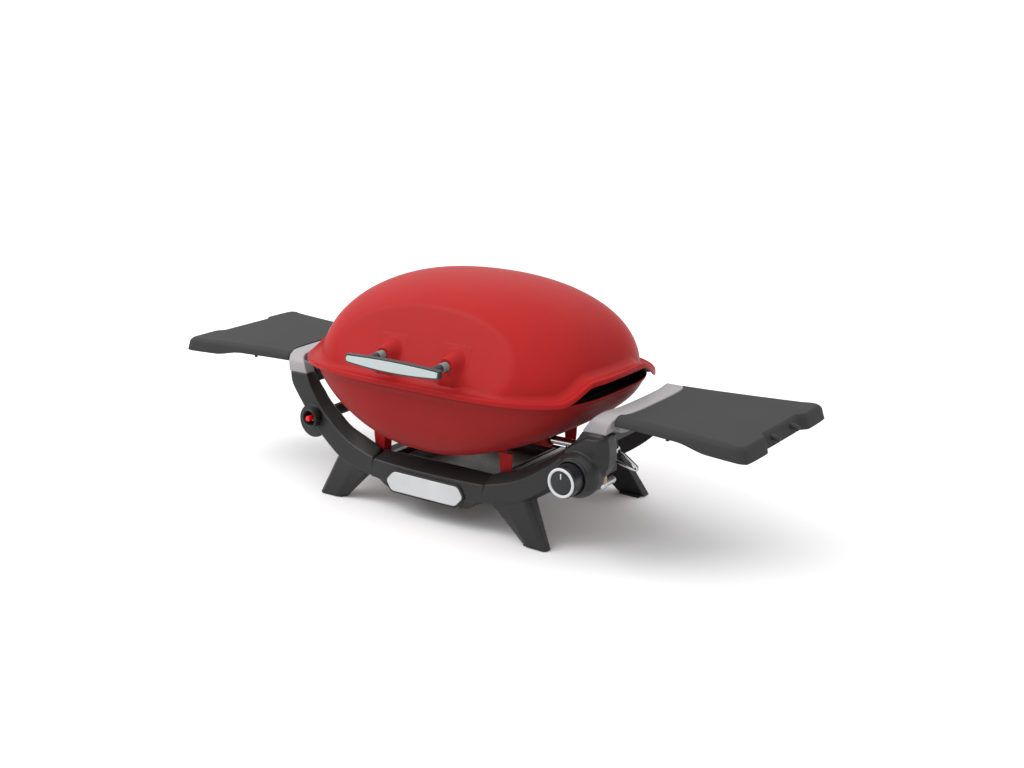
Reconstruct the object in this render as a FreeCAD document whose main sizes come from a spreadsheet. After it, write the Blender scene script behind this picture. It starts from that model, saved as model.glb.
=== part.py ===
"""Portable gas barbecue grill with a domed lid, a cradle frame and two folding side tables.

Millimetres, +Z up, +X to the user's right, the user stands at -Y. The parts are drawn about the middle of
the firebox on the floor, and every part is then moved along Y by one value so that the origin lies under
the middle of the whole grill.
"""
import FreeCAD, Part
import math
import os
import re

import Sketcher
from FreeCAD import Placement, Rotation, Vector

SIZES = {
    # lid
    "lid_half_x": 306, "lid_half_y": 207, "lid_base": 282, "lid_height": 168, "lid_wall": 2.5,
    "lid_lean": 20, "flange_half_x": 334, "flange_half_y": 222, "flange_low": 270,
    "vent_front": -158, "vent_back": 134, "vent_top": 301, "front_slope": 54, "back_slope": 80,
    "bumper_x": 224, "bumper_y": 185.5, "bumper_radius": 5,
    "boss_radius": 13.5, "boss_length": 25, "boss_face": -195, "facet_y": -194.6, "facet_slope": 0.516,
    # lid hinge
    "hinge_y": 232, "hinge_z": 258, "hinge_pin_radius": 3, "hinge_knuckle": 8, "hinge_ear_x": 90,
    "hinge_ear": 10, "running_gap": 0.05,
    # handle
    "handle_half": 107.5, "handle_front": 260, "handle_depth": 10, "handle_top": 333,
    "handle_end": 315.5, "handle_middle": 309.5, "insert_margin": 2.8, "insert_depth": 2,
    "post_x": 73.3, "post_z": 320, "post_radius": 7.5, "spacer_radius": 8.8, "spacer_length": 16,
    # firebox
    "box_half_x": 314, "box_half_y": 212, "rim_z": 266, "box_depth": 140, "box_wall": 3,
    "drain_half": 32, "tube_y": -60, "tube_z": 177, "tube_radius": 6.5, "tube_hole": 13,
    "grate_z": 244, "grate_thick": 9, "grate_bar": 6, "grate_pitch": 17,
    "support_x": 143, "support_y": 108, "support_foot": 16, "support_head": 26, "support_wall": 5,
    # frame
    "seam_x": 132, "arc_top": 229, "face_y": 163, "face_z": 101, "front_lean": 0.21, "back_lean": 0.275,
    "member": 38, "back_member": 22, "back_top_y": 142, "foot_front": 154,
    "foot_in": 211, "foot_out": 279, "pad_thick": 3,
    "rail_low": 63, "rail_high": 96, "back_rail_low": 38, "back_rail_high": 66,
    # end beams and caps
    "cap_top": 263.6, "cap_in": 356, "cap_out": 400.3, "cap_low_in": 324, "cap_low_out": 367,
    "cap_half_y": 142, "cap_flat_y": 108, "beam_low": 205,
    # tables
    "table_pin_x": 404, "table_pin_z": 260.4, "table_nose": 3.2, "table_pin": 1.2, "table_inner_y": 119,
    "table_outer_y": 154, "table_out": 635, "skirt_out": 645, "skirt_low": 238.5, "skirt_high": 250,
    "table_skin": 4, "table_mid_y": 4, "notch_half": 78, "notch_deep": 9, "peg_x": 482, "peg_y": 121,
    "peg_radius": 3.3, "peg_low": 237, "knuckle_length": 12,
    # badge plate
    "badge_half": 92, "badge_flat": 78, "badge_low": 48.5, "badge_high": 86, "badge_thick": 2,
    # catch pan and foil tray
    "pan_half": 122, "pan_front": -95, "pan_back": 118, "pan_low": 72, "pan_high": 94, "pan_wall": 1.5,
    "tray_half": 109, "tray_gap": 3, "foil": 1,
    "pan_rail_gap": 0.6, "side_rail_in": 134, "side_rail_out": 156, "side_rail_low": 87,
    # gas control
    "knob_x": 325, "knob_z": 154, "knob_radius": 28.5, "knob_face": -205, "knob_back": -171,
    "bezel_radius": 34, "bezel_face": -174, "housing_face": -164, "housing_back": -98,
    "housing_radius": 38, "stem_radius": 4, "stem_bore": 6, "stem_end": -80,
    "inlet_z": 114, "inlet_start": -80, "inlet_end": -36, "inlet_radius": 7,
    # igniter
    "button_x": -289, "button_z": 151, "button_radius": 5.5, "button_face": -187, "button_back": -162,
    "cup_radius": 18, "cup_bore": 14, "cup_face": -176, "disc_x": -301,
    "disc_z": 140, "disc_radius": 34, "disc_face": -150, "disc_back": -130, "button_stem": 3,
    "module_radius": 12, "module_back": -62,
}
RIGHT, LEFT = 1, -1
FRONT, BACK = -1, 1
X_AXIS, Y_AXIS, Z_AXIS = Vector(1, 0, 0), Vector(0, 1, 0), Vector(0, 0, 1)

doc = FreeCAD.newDocument("gas_grill")
sheet = doc.addObject("Spreadsheet::Sheet", "Sizes")
for row, (alias, number) in enumerate(SIZES.items(), start=1):
    sheet.set("A%d" % row, alias)
    sheet.set("B%d" % row, str(number))
    sheet.setAlias("B%d" % row, alias)
doc.recompute()
sub_parts = []


# ---------------------------------------------------------------- sizes and small helpers

def sized(formula):
    """Turn the names of sheet cells in a formula into full references."""
    return re.sub(r"[a-z][a-z_]+", lambda word: "Sizes." + word.group(0), str(formula))


def value(formula):
    """The number that a formula of the sheet's cells gives."""
    return float(sheet.evalExpression(sized(formula)))


def point(x, y, z):
    """A place given by three formulas."""
    return Vector(value(x), value(y), value(z))


def part(item, label):
    """Keep an object as one of the grill's sub-parts."""
    item.Label = label
    sub_parts.append(item)
    return item


# ---------------------------------------------------------------- primitives and booleans

def box(name, x, y, z):
    """A block between pairs of formulas along X, Y and Z."""
    block = doc.addObject("Part::Box", name)
    for size, (low, high) in zip(("Length", "Width", "Height"), (x, y, z)):
        block.setExpression(size, sized("(%s) - (%s)" % (high, low)))
    block.Placement.Base = point(x[0], y[0], z[0])
    return block


def rod(name, start, axis, radius, length):
    """A round bar from a start point along an axis."""
    bar = doc.addObject("Part::Cylinder", name)
    bar.setExpression("Radius", sized(radius))
    bar.setExpression("Height", sized(length))
    bar.Placement = Placement(start, Rotation(Z_AXIS, axis))
    return bar


def fuse(name, *pieces):
    """One solid from several that meet."""
    joined = doc.addObject("Part::MultiFuse", name)
    joined.Shapes = list(pieces)
    return joined


def cut(name, base, *tools):
    """A piece with one or more others taken out of it."""
    result = doc.addObject("Part::Cut", name)
    result.Base = base
    result.Tool = tools[0] if len(tools) == 1 else fuse(name + "_tools", *tools)
    return result


def group(name, *pieces):
    """Several equal solids that share one node."""
    bundle = doc.addObject("Part::Compound", name)
    bundle.Links = list(pieces)
    return bundle


def shaped(name, shape):
    """A free-form piece whose shape is worked out from the sheet's sizes."""
    piece = doc.addObject("Part::Feature", name)
    piece.Shape = shape
    return piece


def stencil(label):
    """A still copy of a finished sub-part, to cut its neighbours to its shape."""
    model = next(item for item in sub_parts if item.Label == label)
    return shaped("Stencil_" + label, model.Shape.copy())


# ---------------------------------------------------------------- sketched bodies

def outline_sketch(body, role, corners):
    """A closed polygon on one of the body's own planes, each corner bound to the sheet."""
    plane = next(item for item in body.Origin.OriginFeatures if item.Role == role)
    sketch = body.newObject("Sketcher::SketchObject", body.Name + "_outline")
    sketch.AttachmentSupport = (plane, "")
    sketch.MapMode = "FlatFace"
    places = [Vector(value(across), value(along), 0) for across, along in corners]
    for index, place in enumerate(places):
        sketch.addGeometry(Part.LineSegment(place, places[(index + 1) % len(places)]), False)
    for index, (across, along) in enumerate(corners):
        sketch.addConstraint(Sketcher.Constraint("Coincident", index, 2, (index + 1) % len(corners), 1))
        for kind, formula in (("DistanceX", across), ("DistanceY", along)):
            number = sketch.addConstraint(Sketcher.Constraint(kind, -1, 1, index, 1, value(formula)))
            sketch.setExpression("Constraints[%d]" % number, sized(formula))
    return sketch


def turned(name, profile, centre, axis):
    """A profile of (radius, height) corners turned once round an axis through centre."""
    body = doc.addObject("PartDesign::Body", name)
    sketch = outline_sketch(body, "XZ_Plane", profile)
    turn = body.newObject("PartDesign::Revolution", name + "_turn")
    turn.Profile = sketch
    turn.ReferenceAxis = (sketch, ["V_Axis"])
    turn.Angle = 360
    body.Tip = turn
    body.Placement = Placement(centre, Rotation(Z_AXIS, axis))
    return body


# ---------------------------------------------------------------- free-form shapes

def oval(half_x, half_y, power, height, middle_y=0.0):
    """A closed superellipse wire at a height."""
    places = []
    count = 48
    for index in range(count):
        angle = 2 * math.pi * (index + 0.5) / count
        across = half_x * math.copysign(abs(math.cos(angle)) ** (2 / power), math.cos(angle))
        along = half_y * math.copysign(abs(math.sin(angle)) ** (2 / power), math.sin(angle))
        places.append(Vector(across, along + middle_y, height))
    curve = Part.BSplineCurve()
    curve.interpolate(Points=places, PeriodicFlag=True)
    return Part.Wire(curve.toShape())


def dome(half_x, half_y, base, height, powers, bulge_x, bulge_y, lean=0.0):
    """A bowl or dome lofted through ovals; a negative height makes a bowl that hangs down."""
    sections = []
    steps = 9
    for index in range(steps):
        rise = math.sin(math.radians(85) * index / (steps - 1))
        narrow_x = (1 - rise ** bulge_x) ** (1 / bulge_x)
        narrow_y = (1 - rise ** bulge_y) ** (1 / bulge_y)
        power = powers[0] + (powers[1] - powers[0]) * rise
        sections.append(oval(half_x * narrow_x, half_y * narrow_y, power, base + height * rise, lean * rise))
    return Part.makeLoft(sections, True, False)


def prism(wire, rise):
    """A flat closed wire pushed along a vector."""
    return Part.Face(wire).extrude(rise)


def polygon_prism(places, rise):
    """A closed polygon pushed along a vector."""
    return prism(Part.makePolygon(places + places[:1]), rise)


def bent_rod(places, radius, closed=False):
    """A round rod with ball corners through a few points."""
    ends = places + places[:1] if closed else places
    pieces = [Part.makeSphere(radius, place) for place in places]
    for start, end in zip(ends, ends[1:]):
        pieces.append(Part.makeCylinder(radius, (end - start).Length, start, end - start))
    return pieces[0].multiFuse(pieces[1:]).removeSplitter()


def mirrored_x(shape, side):
    """The shape itself on the right, its mirror image on the left."""
    if side == RIGHT:
        return shape
    return shape.mirror(Vector(0, 0, 0), X_AXIS)


# ---------------------------------------------------------------- lid

def lid_skin(inset):
    """The lid's dome with its flat front facet, drawn in and down by a wall thickness."""
    half_x, half_y, base = value("lid_half_x") - inset, value("lid_half_y") - inset, value("lid_base") - 1
    skin = dome(half_x, half_y, base, value("lid_height") + 1 - inset, (3.3, 2.05), 2.35, 2.17,
                value("lid_lean"))
    if inset:
        skin = skin.fuse(prism(oval(half_x, half_y, 3.3, base - inset), Z_AXIS * inset))
    low, high, slope = base - 5, value("lid_base") + 200, value("facet_slope")
    near = value("facet_y") + slope * (low - value("lid_base")) + inset * math.hypot(1, slope)
    far = near + slope * (high - low)
    facet = [Vector(-400, near, low), Vector(-400, far, high), Vector(-400, -400, high),
             Vector(-400, -400, low)]
    return skin.cut(polygon_prism(facet, X_AXIS * 800))


def flange_prism(inset, low, high):
    """A flat-sided slice of the lid's flange outline."""
    wire = oval(value("flange_half_x") - inset, value("flange_half_y") - inset, 3.4, low)
    return prism(wire, Z_AXIS * (high - low))


def vent_cutter(grow, low, half):
    """The sloped-ended side vent, right through the lid from side to side."""
    front, back = value("vent_front") - grow, value("vent_back") + grow
    top = value("vent_top") + grow
    corners = [(front, low), (back, low), (back - value("back_slope"), top),
               (front + value("front_slope"), top)]
    return polygon_prism([Vector(-half, y, z) for y, z in corners], X_AXIS * 2 * half)


def make_lid():
    """The lid: dome, ledge, lip, arched side vents and two handle pads."""
    wall, low, base = value("lid_wall"), value("flange_low"), value("lid_base")
    arch = vent_cutter(wall, low, value("flange_half_x")).common(flange_prism(0, low, 320))
    outside = lid_skin(0).fuse(flange_prism(0, low, base)).fuse(arch)
    for side in (LEFT, RIGHT):
        pad_start = point("post_x * %d" % side, "boss_face", "post_z")
        radius, length = value("boss_radius"), value("boss_length")
        pad = Part.makeCylinder(radius, length, pad_start, Y_AXIS)
        web = Part.makeBox(2 * radius, length, value("post_z") - base,
                           Vector(pad_start.x - radius, pad_start.y, base))
        outside = outside.fuse(pad).fuse(web)
    hollow = lid_skin(wall).fuse(flange_prism(wall, low - 1, base - wall))
    lid = outside.cut(hollow).cut(vent_cutter(0, low - 1, 400))
    return part(shaped("Lid", lid), "lid_shell")


def lid_lug(side):
    """A hinge lug that hangs from the lid's rear edge and turns on the pin."""
    y, z, knuckle = value("hinge_y"), value("hinge_z"), value("hinge_knuckle")
    x = value("hinge_ear_x") * side - value("hinge_ear") / 2
    arm = polygon_prism([Vector(x, y - knuckle, z), Vector(x, y + knuckle, z), Vector(x, y - 2, z + 24),
                         Vector(x, y - 13, z + 24)], X_AXIS * value("hinge_ear"))
    eye = Part.makeCylinder(knuckle, value("hinge_ear"), Vector(x, y, z), X_AXIS)
    hole = Part.makeCylinder(value("hinge_pin_radius + running_gap"), 40, Vector(x - 10, y, z), X_AXIS)
    lid = next(item for item in sub_parts if item.Label == "lid_shell")
    return shaped("LidLug%d" % side, arm.fuse(eye).cut(hole).cut(lid.Shape))


def make_lid_bumpers():
    """Four small rubber rests under the lid's ledge, on the firebox side."""
    pieces = []
    for index, (side, end) in enumerate([(LEFT, FRONT), (RIGHT, FRONT), (LEFT, BACK), (RIGHT, BACK)]):
        start = point("bumper_x * %d" % side, "bumper_y * %d" % end, "rim_z")
        pieces.append(rod("Bumper%d" % index, start, Z_AXIS, "bumper_radius",
                          "lid_base - lid_wall - rim_z - 0.3"))
    return part(group("Bumpers", *pieces), "lid_bumpers")


def make_handle():
    """The front handle: a bar with a light insert, two posts with spacers and their screws."""
    half, top, end, middle = (value(size) for size in ("handle_half", "handle_top", "handle_end",
                                                      "handle_middle"))
    depth, face = value("handle_depth"), -value("handle_front")
    inset = value("insert_margin")

    def smile(margin, y, thick):
        """A slab with a straight top and a bowed lower edge."""
        left, right = Vector(margin - half, y, end + margin), Vector(half - margin, y, end + margin)
        bow = Part.Arc(left, Vector(0, y, middle + margin), right).toShape()
        sides = Part.makePolygon([right, Vector(half - margin, y, top - margin),
                                  Vector(margin - half, y, top - margin), left])
        return prism(Part.Wire([bow] + sides.Edges), Y_AXIS * thick)

    part(shaped("HandleBar", smile(0, face, depth)), "handle_bar")
    insert = smile(inset, face - value("insert_depth"), value("insert_depth"))
    part(shaped("HandleInsert", insert), "handle_insert")
    posts, spacers, screws = [], [], []
    for index, side in enumerate((LEFT, RIGHT)):
        back = point("post_x * %d" % side, "handle_depth - handle_front", "post_z")
        mouth = point("post_x * %d" % side, "boss_face - spacer_length", "post_z")
        posts.append(rod("Post%d" % index, back, Y_AXIS, "post_radius",
                         "boss_face - spacer_length + handle_front - handle_depth"))
        spacers.append(rod("Spacer%d" % index, mouth, Y_AXIS, "spacer_radius", "spacer_length"))
        inner = point("post_x * %d" % side, "facet_y + 26", "post_z")
        screws.append(rod("HandleScrew%d" % index, inner, Y_AXIS, "4.5", "3.5"))
    part(group("Posts", *posts), "handle_posts")
    part(group("Spacers", *spacers), "handle_spacers")
    part(group("HandleScrews", *screws), "handle_screws")


def make_hinge_pin():
    """The long pin that the lid turns on."""
    start = point("-hinge_ear_x - 26", "hinge_y", "hinge_z")
    pin = rod("HingePin", start, X_AXIS, "hinge_pin_radius", "2 * hinge_ear_x + 52")
    return part(pin, "lid_hinge_pin")


# ---------------------------------------------------------------- firebox

def box_skin(inset):
    """The firebox's bowl, drawn in by a wall thickness."""
    return dome(value("box_half_x") - inset, value("box_half_y") - inset, value("rim_z"),
                -(value("box_depth") - inset), (3.3, 3.1), 1.65, 4.4)


def make_firebox():
    """The bowl with its drain hole, burner tube hole, grate lugs and rear hinge ears."""
    outside = box_skin(0)
    pieces = []
    for side in (LEFT, RIGHT):
        x = (value("hinge_ear_x") + value("hinge_ear") / 2 + 6) * side - 4
        y, z = value("hinge_y"), value("hinge_z")
        ear = polygon_prism([Vector(x, 205, 262), Vector(x, y, z + 8), Vector(x, y + 8, z),
                             Vector(x, y, z - 8), Vector(x, 200, 232)], X_AXIS * 8)
        pieces.append(ear)
    outside = outside.multiFuse(pieces)
    firebox = outside.cut(box_skin(value("box_wall")))
    low, base = value("rim_z - box_depth"), value("rim_z")
    drain = Part.makeBox(2 * value("drain_half"), 60, 20, Vector(-value("drain_half"), -30, low - 5))
    wall_hole = Part.makeCylinder(value("tube_hole"), 90, point("160", "tube_y", "tube_z"), X_AXIS)
    pin_hole = Part.makeCylinder(value("hinge_pin_radius"), 300, point("-150", "hinge_y", "hinge_z"), X_AXIS)
    firebox = firebox.cut(drain).cut(wall_hole).cut(pin_hole)
    lugs = [Part.makeBox(16, 16, 8, Vector(x * 242 - 8, y * 176 - 8, value("grate_z") - 8))
            for x in (-1, 1) for y in (-1, 1)]
    firebox = firebox.multiFuse([lug.common(box_skin(0)) for lug in lugs])
    keep = Part.makeBox(900, 600, base - low + 40, Vector(-450, -300, low - 30))
    return part(shaped("Firebox", firebox.common(keep)), "firebox")


def support(side, end):
    """One of the four tapered brackets that carry the firebox on the frame."""
    x, y = value("support_x") * side, value("support_y") * end
    foot, head, wall = value("support_foot") / 2, value("support_head") / 2, value("support_wall") / 2
    top, seat = 175, value("rail_high") + 1
    web = polygon_prism([Vector(x - foot, y - wall, seat), Vector(x + foot, y - wall, seat),
                         Vector(x + head, y - wall, top), Vector(x - head, y - wall, top)],
                        Y_AXIS * 2 * wall)
    inner = -end
    flange = polygon_prism([Vector(x - side * foot - wall, y, seat),
                            Vector(x - side * foot - wall, y + inner * 18, seat),
                            Vector(x - side * foot - wall, y + inner * 24, top),
                            Vector(x - side * foot - wall, y, top)], X_AXIS * 2 * wall)
    bracket = web.fuse(flange).cut(box_skin(0))
    low_part = Part.makeBox(200, 200, top - seat, Vector(x - 100, y - 100, seat))
    solid = max(bracket.common(low_part).Solids, key=lambda body: -body.CenterOfMass.z)
    return shaped("Support%d%d" % (side, end), solid)


def make_grate(side):
    """Half of the cooking grate: a rim and bars that run from front to back."""
    name = "right" if side == RIGHT else "left"
    z, thick, bar = value("grate_z"), value("grate_thick"), value("grate_bar")
    outer = prism(oval(296, 202, 3.2, z), Z_AXIS * thick)
    inner = prism(oval(288, 194, 3.2, z - 1), Z_AXIS * (thick + 2))
    half = Part.makeBox(400, 500, 60, Vector(1.0 if side == RIGHT else -401.0, -250, z - 20))
    rim = outer.cut(inner)
    bars = []
    count = int(290 / value("grate_pitch"))
    for index in range(count):
        x = side * (1 + bar / 2 + index * value("grate_pitch"))
        bars.append(Part.makeBox(bar, 420, thick, Vector(x - bar / 2, -210, z)))
    cross = Part.makeBox(600, 8, thick - 3, Vector(-300, -4, z))
    grate = rim.multiFuse([strip.common(outer) for strip in bars + [cross]]).common(half)
    return part(shaped("Grate_" + name, grate.removeSplitter()), "%s_grate" % name)


def make_burner():
    """The burner: a closed loop of tube in the firebox, its feed tube and the spark electrode."""
    z = value("tube_z")
    loop = [Vector(-170, -60, z), Vector(-170, 70, z), Vector(150, 70, z), Vector(150, -60, z)]
    part(shaped("BurnerLoop", bent_rod(loop, 8.0, closed=True)), "burner_loop")
    feed = rod("FeedTube", point("158", "tube_y", "tube_z"), X_AXIS, "tube_radius", "147")
    part(feed, "burner_tube")
    post = rod("Electrode", point("-120", "tube_y - 20", "tube_z - 12"), Z_AXIS, "2", "20")
    sleeve = rod("Ceramic", point("-120", "tube_y - 20", "tube_z - 27.5"), Z_AXIS, "5", "15.5")
    part(fuse("ElectrodeSet", post, sleeve), "spark_electrode")


# ---------------------------------------------------------------- frame

def lean_slab(end, low, high):
    """A slab along X that leans as the frame's front or back face does."""
    reach = 800
    if end == FRONT:
        def face(z):
            return -value("face_y") - value("front_lean") * (value("face_z") - z)
        knee = value("rail_low")
        corners = [(face(high), high), (face(knee), knee), (-value("foot_front"), low),
                   (-value("foot_front") + value("member"), low), (face(knee) + value("member"), knee),
                   (face(high) + value("member"), high)]
    else:
        def face(z):
            return value("back_top_y") + value("back_lean") * (value("arc_top") - z)
        thick = value("back_member")
        corners = [(face(high), high), (face(low), low), (face(low) - thick, low),
                   (face(high) - thick, high)]
    if low >= value("rail_low") and end == FRONT:
        corners = [corners[0], (face(low), low), (face(low) + value("member"), low), corners[-1]]
    return polygon_prism([Vector(-reach, y, z) for y, z in corners], X_AXIS * 2 * reach)


def leg_outline():
    """The right leg seen from the front: a curved arm from the cap to the rail, and a splayed foot."""
    seam, low, high, top = (value(size) for size in ("seam_x", "rail_low", "rail_high", "arc_top"))
    foot_in, foot_out, pad = value("foot_in"), value("foot_out"), value("pad_thick")
    cap_in, cap_out = value("cap_low_in"), value("cap_low_out")

    def at(x, z):
        return Vector(x, -400, z)

    edges = [
        Part.Arc(at(seam, high), at(212, 125), at(275, 169)).toShape(),
        Part.Arc(at(275, 169), at(304, 200), at(cap_in, top)).toShape(),
        Part.makeLine(at(cap_in, top), at(cap_out, top)),
        Part.Arc(at(cap_out, top), at(350, 187), at(321, 159)).toShape(),
        Part.makeLine(at(321, 159), at(252, 102)),
        Part.Arc(at(252, 102), at(244, 92), at(246, 82)).toShape(),
        Part.makeLine(at(246, 82), at(foot_out, pad)),
        Part.makeLine(at(foot_out, pad), at(foot_in, pad)),
        Part.makeLine(at(foot_in, pad), at(172, 52)),
        Part.Arc(at(172, 52), at(162, 61), at(150, low)).toShape(),
        Part.makeLine(at(150, low), at(seam, low)),
        Part.makeLine(at(seam, low), at(seam, high)),
    ]
    return Part.Wire(edges)


def make_leg(side, end):
    """One of the frame's four legs."""
    name = "%s_%s_leg" % ("front" if end == FRONT else "back", "right" if side == RIGHT else "left")
    flat = prism(leg_outline(), Y_AXIS * 800)
    leg = mirrored_x(flat, side).common(lean_slab(end, value("pad_thick"), value("arc_top")))
    if end == FRONT and side == LEFT:
        bore = point("button_x", "-200", "button_z")
        leg = leg.cut(Part.makeCylinder(value("button_stem") + 0.5, 150, bore, Y_AXIS))
    return part(shaped("Leg_" + name, leg), name)


def make_pads():
    """A thin rubber pad under each foot."""
    pieces = []
    for index, (side, end) in enumerate([(LEFT, FRONT), (RIGHT, FRONT), (LEFT, BACK), (RIGHT, BACK)]):
        x = ("foot_in + 4", "foot_out - 4") if side == RIGHT else ("4 - foot_out", "-foot_in - 4")
        y = ("4 - foot_front", "member - foot_front - 4") if end == FRONT else ("184", "200")
        pieces.append(box("Pad%d" % index, x, y, ("0", "pad_thick")))
    return part(group("Pads", *pieces), "foot_pads")


def make_rails():
    """The rails that join the legs across the front and the back, and their screws."""
    seam, low, high = value("seam_x"), value("rail_low"), value("rail_high")

    def bar(bottom, top):
        return Part.makeBox(2 * seam, 800, top - bottom, Vector(-seam, -400, bottom))

    belly_edge = Part.Arc(Vector(-108, -400, low), Vector(0, -400, 39), Vector(108, -400, low)).toShape()
    belly = prism(Part.Wire([belly_edge, Part.makeLine(Vector(108, -400, low), Vector(-108, -400, low))]),
                  Y_AXIS * 800).common(lean_slab(FRONT, 30, high))
    belly.translate(Y_AXIS * 5)
    front = bar(low, high).common(lean_slab(FRONT, low, high)).fuse(belly.common(bar(30, low)))
    part(shaped("FrontRail", front), "front_rail")
    low, high = value("back_rail_low"), value("back_rail_high")
    back = bar(low, high).common(lean_slab(BACK, low, high))
    part(shaped("BackRail", back), "back_rail")


def make_side_rails():
    """The rails between the front and back legs that the firebox's brackets stand on."""
    for name, x in (("left", ("-side_rail_out", "-side_rail_in")),
                    ("right", ("side_rail_in", "side_rail_out"))):
        bar = box("SideRail_" + name, x, ("-135", "165"), ("side_rail_low", "rail_high + 1"))
        tools = [stencil("front_%s_leg" % name), stencil("back_%s_leg" % name)]
        part(cut("SideRailCut_" + name, bar, *tools), "%s_side_rail" % name)


def make_joint_plates():
    """Plates behind the legs that tie them to the lower back rail."""
    pieces = []
    for index, side in enumerate((LEFT, RIGHT)):
        x = ("seam_x - 26", "seam_x + 24") if side == RIGHT else ("-seam_x - 24", "26 - seam_x")
        pieces.append(box("JointPlate%d" % index, x, ("150", "156"), ("44", "70")))
    return part(group("JointPlates", *pieces), "rail_plates")


def make_beam(side):
    """The end beam that joins the tops of a front and a back leg under the grey cap."""
    name = "right" if side == RIGHT else "left"
    x = ("332", "362") if side == RIGHT else ("-362", "-332")
    beam = box("Beam_" + name, x, ("-97", "119"), ("beam_low", "arc_top"))
    return part(beam, "%s_end_beam" % name)


def cap_slab():
    """The cap's rounded front and back seen from the side."""
    half, flat, top, low = (value(size) for size in ("cap_half_y", "cap_flat_y", "cap_top", "arc_top"))

    def at(y, z):
        return Vector(-500, y, z)

    edges = [Part.makeLine(at(flat, top), at(-flat, top)),
             Part.Arc(at(-flat, top), at(-half + 9, top - 12), at(-half, low)).toShape(),
             Part.makeLine(at(-half, low), at(half, low)),
             Part.Arc(at(half, low), at(half - 9, top - 12), at(flat, top)).toShape()]
    return prism(Part.Wire(edges), X_AXIS * 1000)


def make_cap(side):
    """The light grey end cap with the knuckles that hold the table's pin."""
    name = "right" if side == RIGHT else "left"
    low, top = value("arc_top"), value("cap_top")
    corners = [(value("cap_in"), top), (value("cap_out"), top), (value("cap_out") - 1, top - 8),
               (value("cap_low_out"), low), (value("cap_low_in"), low)]
    saddle = polygon_prism([Vector(x, -400, z) for x, z in corners], Y_AXIS * 800).common(cap_slab())
    pin_x, pin_z, length = value("table_pin_x"), value("table_pin_z"), value("knuckle_length")
    knuckles = []
    for y in (-90, 0, 90):
        start = Vector(pin_x, y - length / 2, pin_z)
        eye = Part.makeCylinder(value("table_nose") - 0.4, length, start, Y_AXIS)
        arm = Part.makeBox(pin_x - value("cap_out") + 4, length, 2.6,
                           Vector(value("cap_out") - 4, y - length / 2, pin_z - 2.7))
        knuckles.append(eye.fuse(arm))
    pin = Part.makeCylinder(value("table_pin"), 300, Vector(pin_x, -150, pin_z), Y_AXIS)
    cap = saddle.multiFuse(knuckles).cut(pin)
    return part(shaped("Cap_" + name, mirrored_x(cap, side)), "%s_end_cap" % name)


def make_badge():
    """The blank plate on the front rail and the dark seat behind it."""
    half, flat, low, high = (value(size) for size in ("badge_half", "badge_flat", "badge_low", "badge_high"))
    middle = (low + high) / 2

    def plaque(margin):
        """The pointed plaque's prism along Y."""
        places = [Vector(x, -400, z) for x, z in (
            (half - margin, middle), (flat - margin, high - margin), (margin - flat, high - margin),
            (margin - half, middle), (margin - flat, low + margin), (flat - margin, low + margin))]
        return polygon_prism(places, Y_AXIS * 800)

    def layer(margin, near, far):
        """A layer of the plaque parallel to the rail's leaning face."""
        z_low, z_high = 40.0, 100.0

        def face(z):
            return -value("face_y") - value("front_lean") * (value("face_z") - z)
        corners = [(face(z_high) - far, z_high), (face(z_low) - far, z_low),
                   (face(z_low) - near, z_low), (face(z_high) - near, z_high)]
        slab = polygon_prism([Vector(-300, y, z) for y, z in corners], X_AXIS * 600)
        return plaque(margin).common(slab)

    seat = layer(-2.5, 0, 3)
    part(shaped("BadgeSeat", seat), "badge_seat")
    part(shaped("Badge", layer(0, 3, 3 + value("badge_thick"))), "badge_plate")


# ---------------------------------------------------------------- side tables

def table_outline(inset, low, high):
    """The table's plan as a prism, drawn in by a wall."""
    inner, outer, middle = value("table_inner_y"), value("table_outer_y"), value("table_mid_y")
    x_in, x_out = value("table_pin_x") + inset, value("skirt_out") - inset
    notch, deep = value("notch_half") + inset, value("notch_deep")
    places = [(x_in, middle - inner + inset), (x_out, middle - outer + inset),
              (x_out, middle - notch), (x_out - deep, middle - notch + deep),
              (x_out - deep, middle + notch - deep), (x_out, middle + notch),
              (x_out, middle + outer - inset), (x_in, middle + inner - inset)]
    return polygon_prism([Vector(x, y, low) for x, y in places], Z_AXIS * (high - low))


def table_side(inset=0):
    """The table seen from the front: flat top, leaning outer edge and a skirt that dips outwards."""
    top, pin = value("cap_top"), value("table_pin_x")
    out, skirt = value("table_out") - inset, value("skirt_out") - inset
    high, low = value("skirt_high") - 3 * inset, value("skirt_low") - inset

    def at(x, z):
        return Vector(x, -400, z)

    edges = [Part.makeLine(at(pin, top), at(out, top)), Part.makeLine(at(out, top), at(skirt, low)),
             Part.makeLine(at(skirt, low), at(600, low)),
             Part.makeLine(at(600, low), at(548, high - 1)),
             Part.makeLine(at(548, high - 1), at(pin, high)), Part.makeLine(at(pin, high), at(pin, top))]
    return prism(Part.Wire(edges), Y_AXIS * 800)


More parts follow.
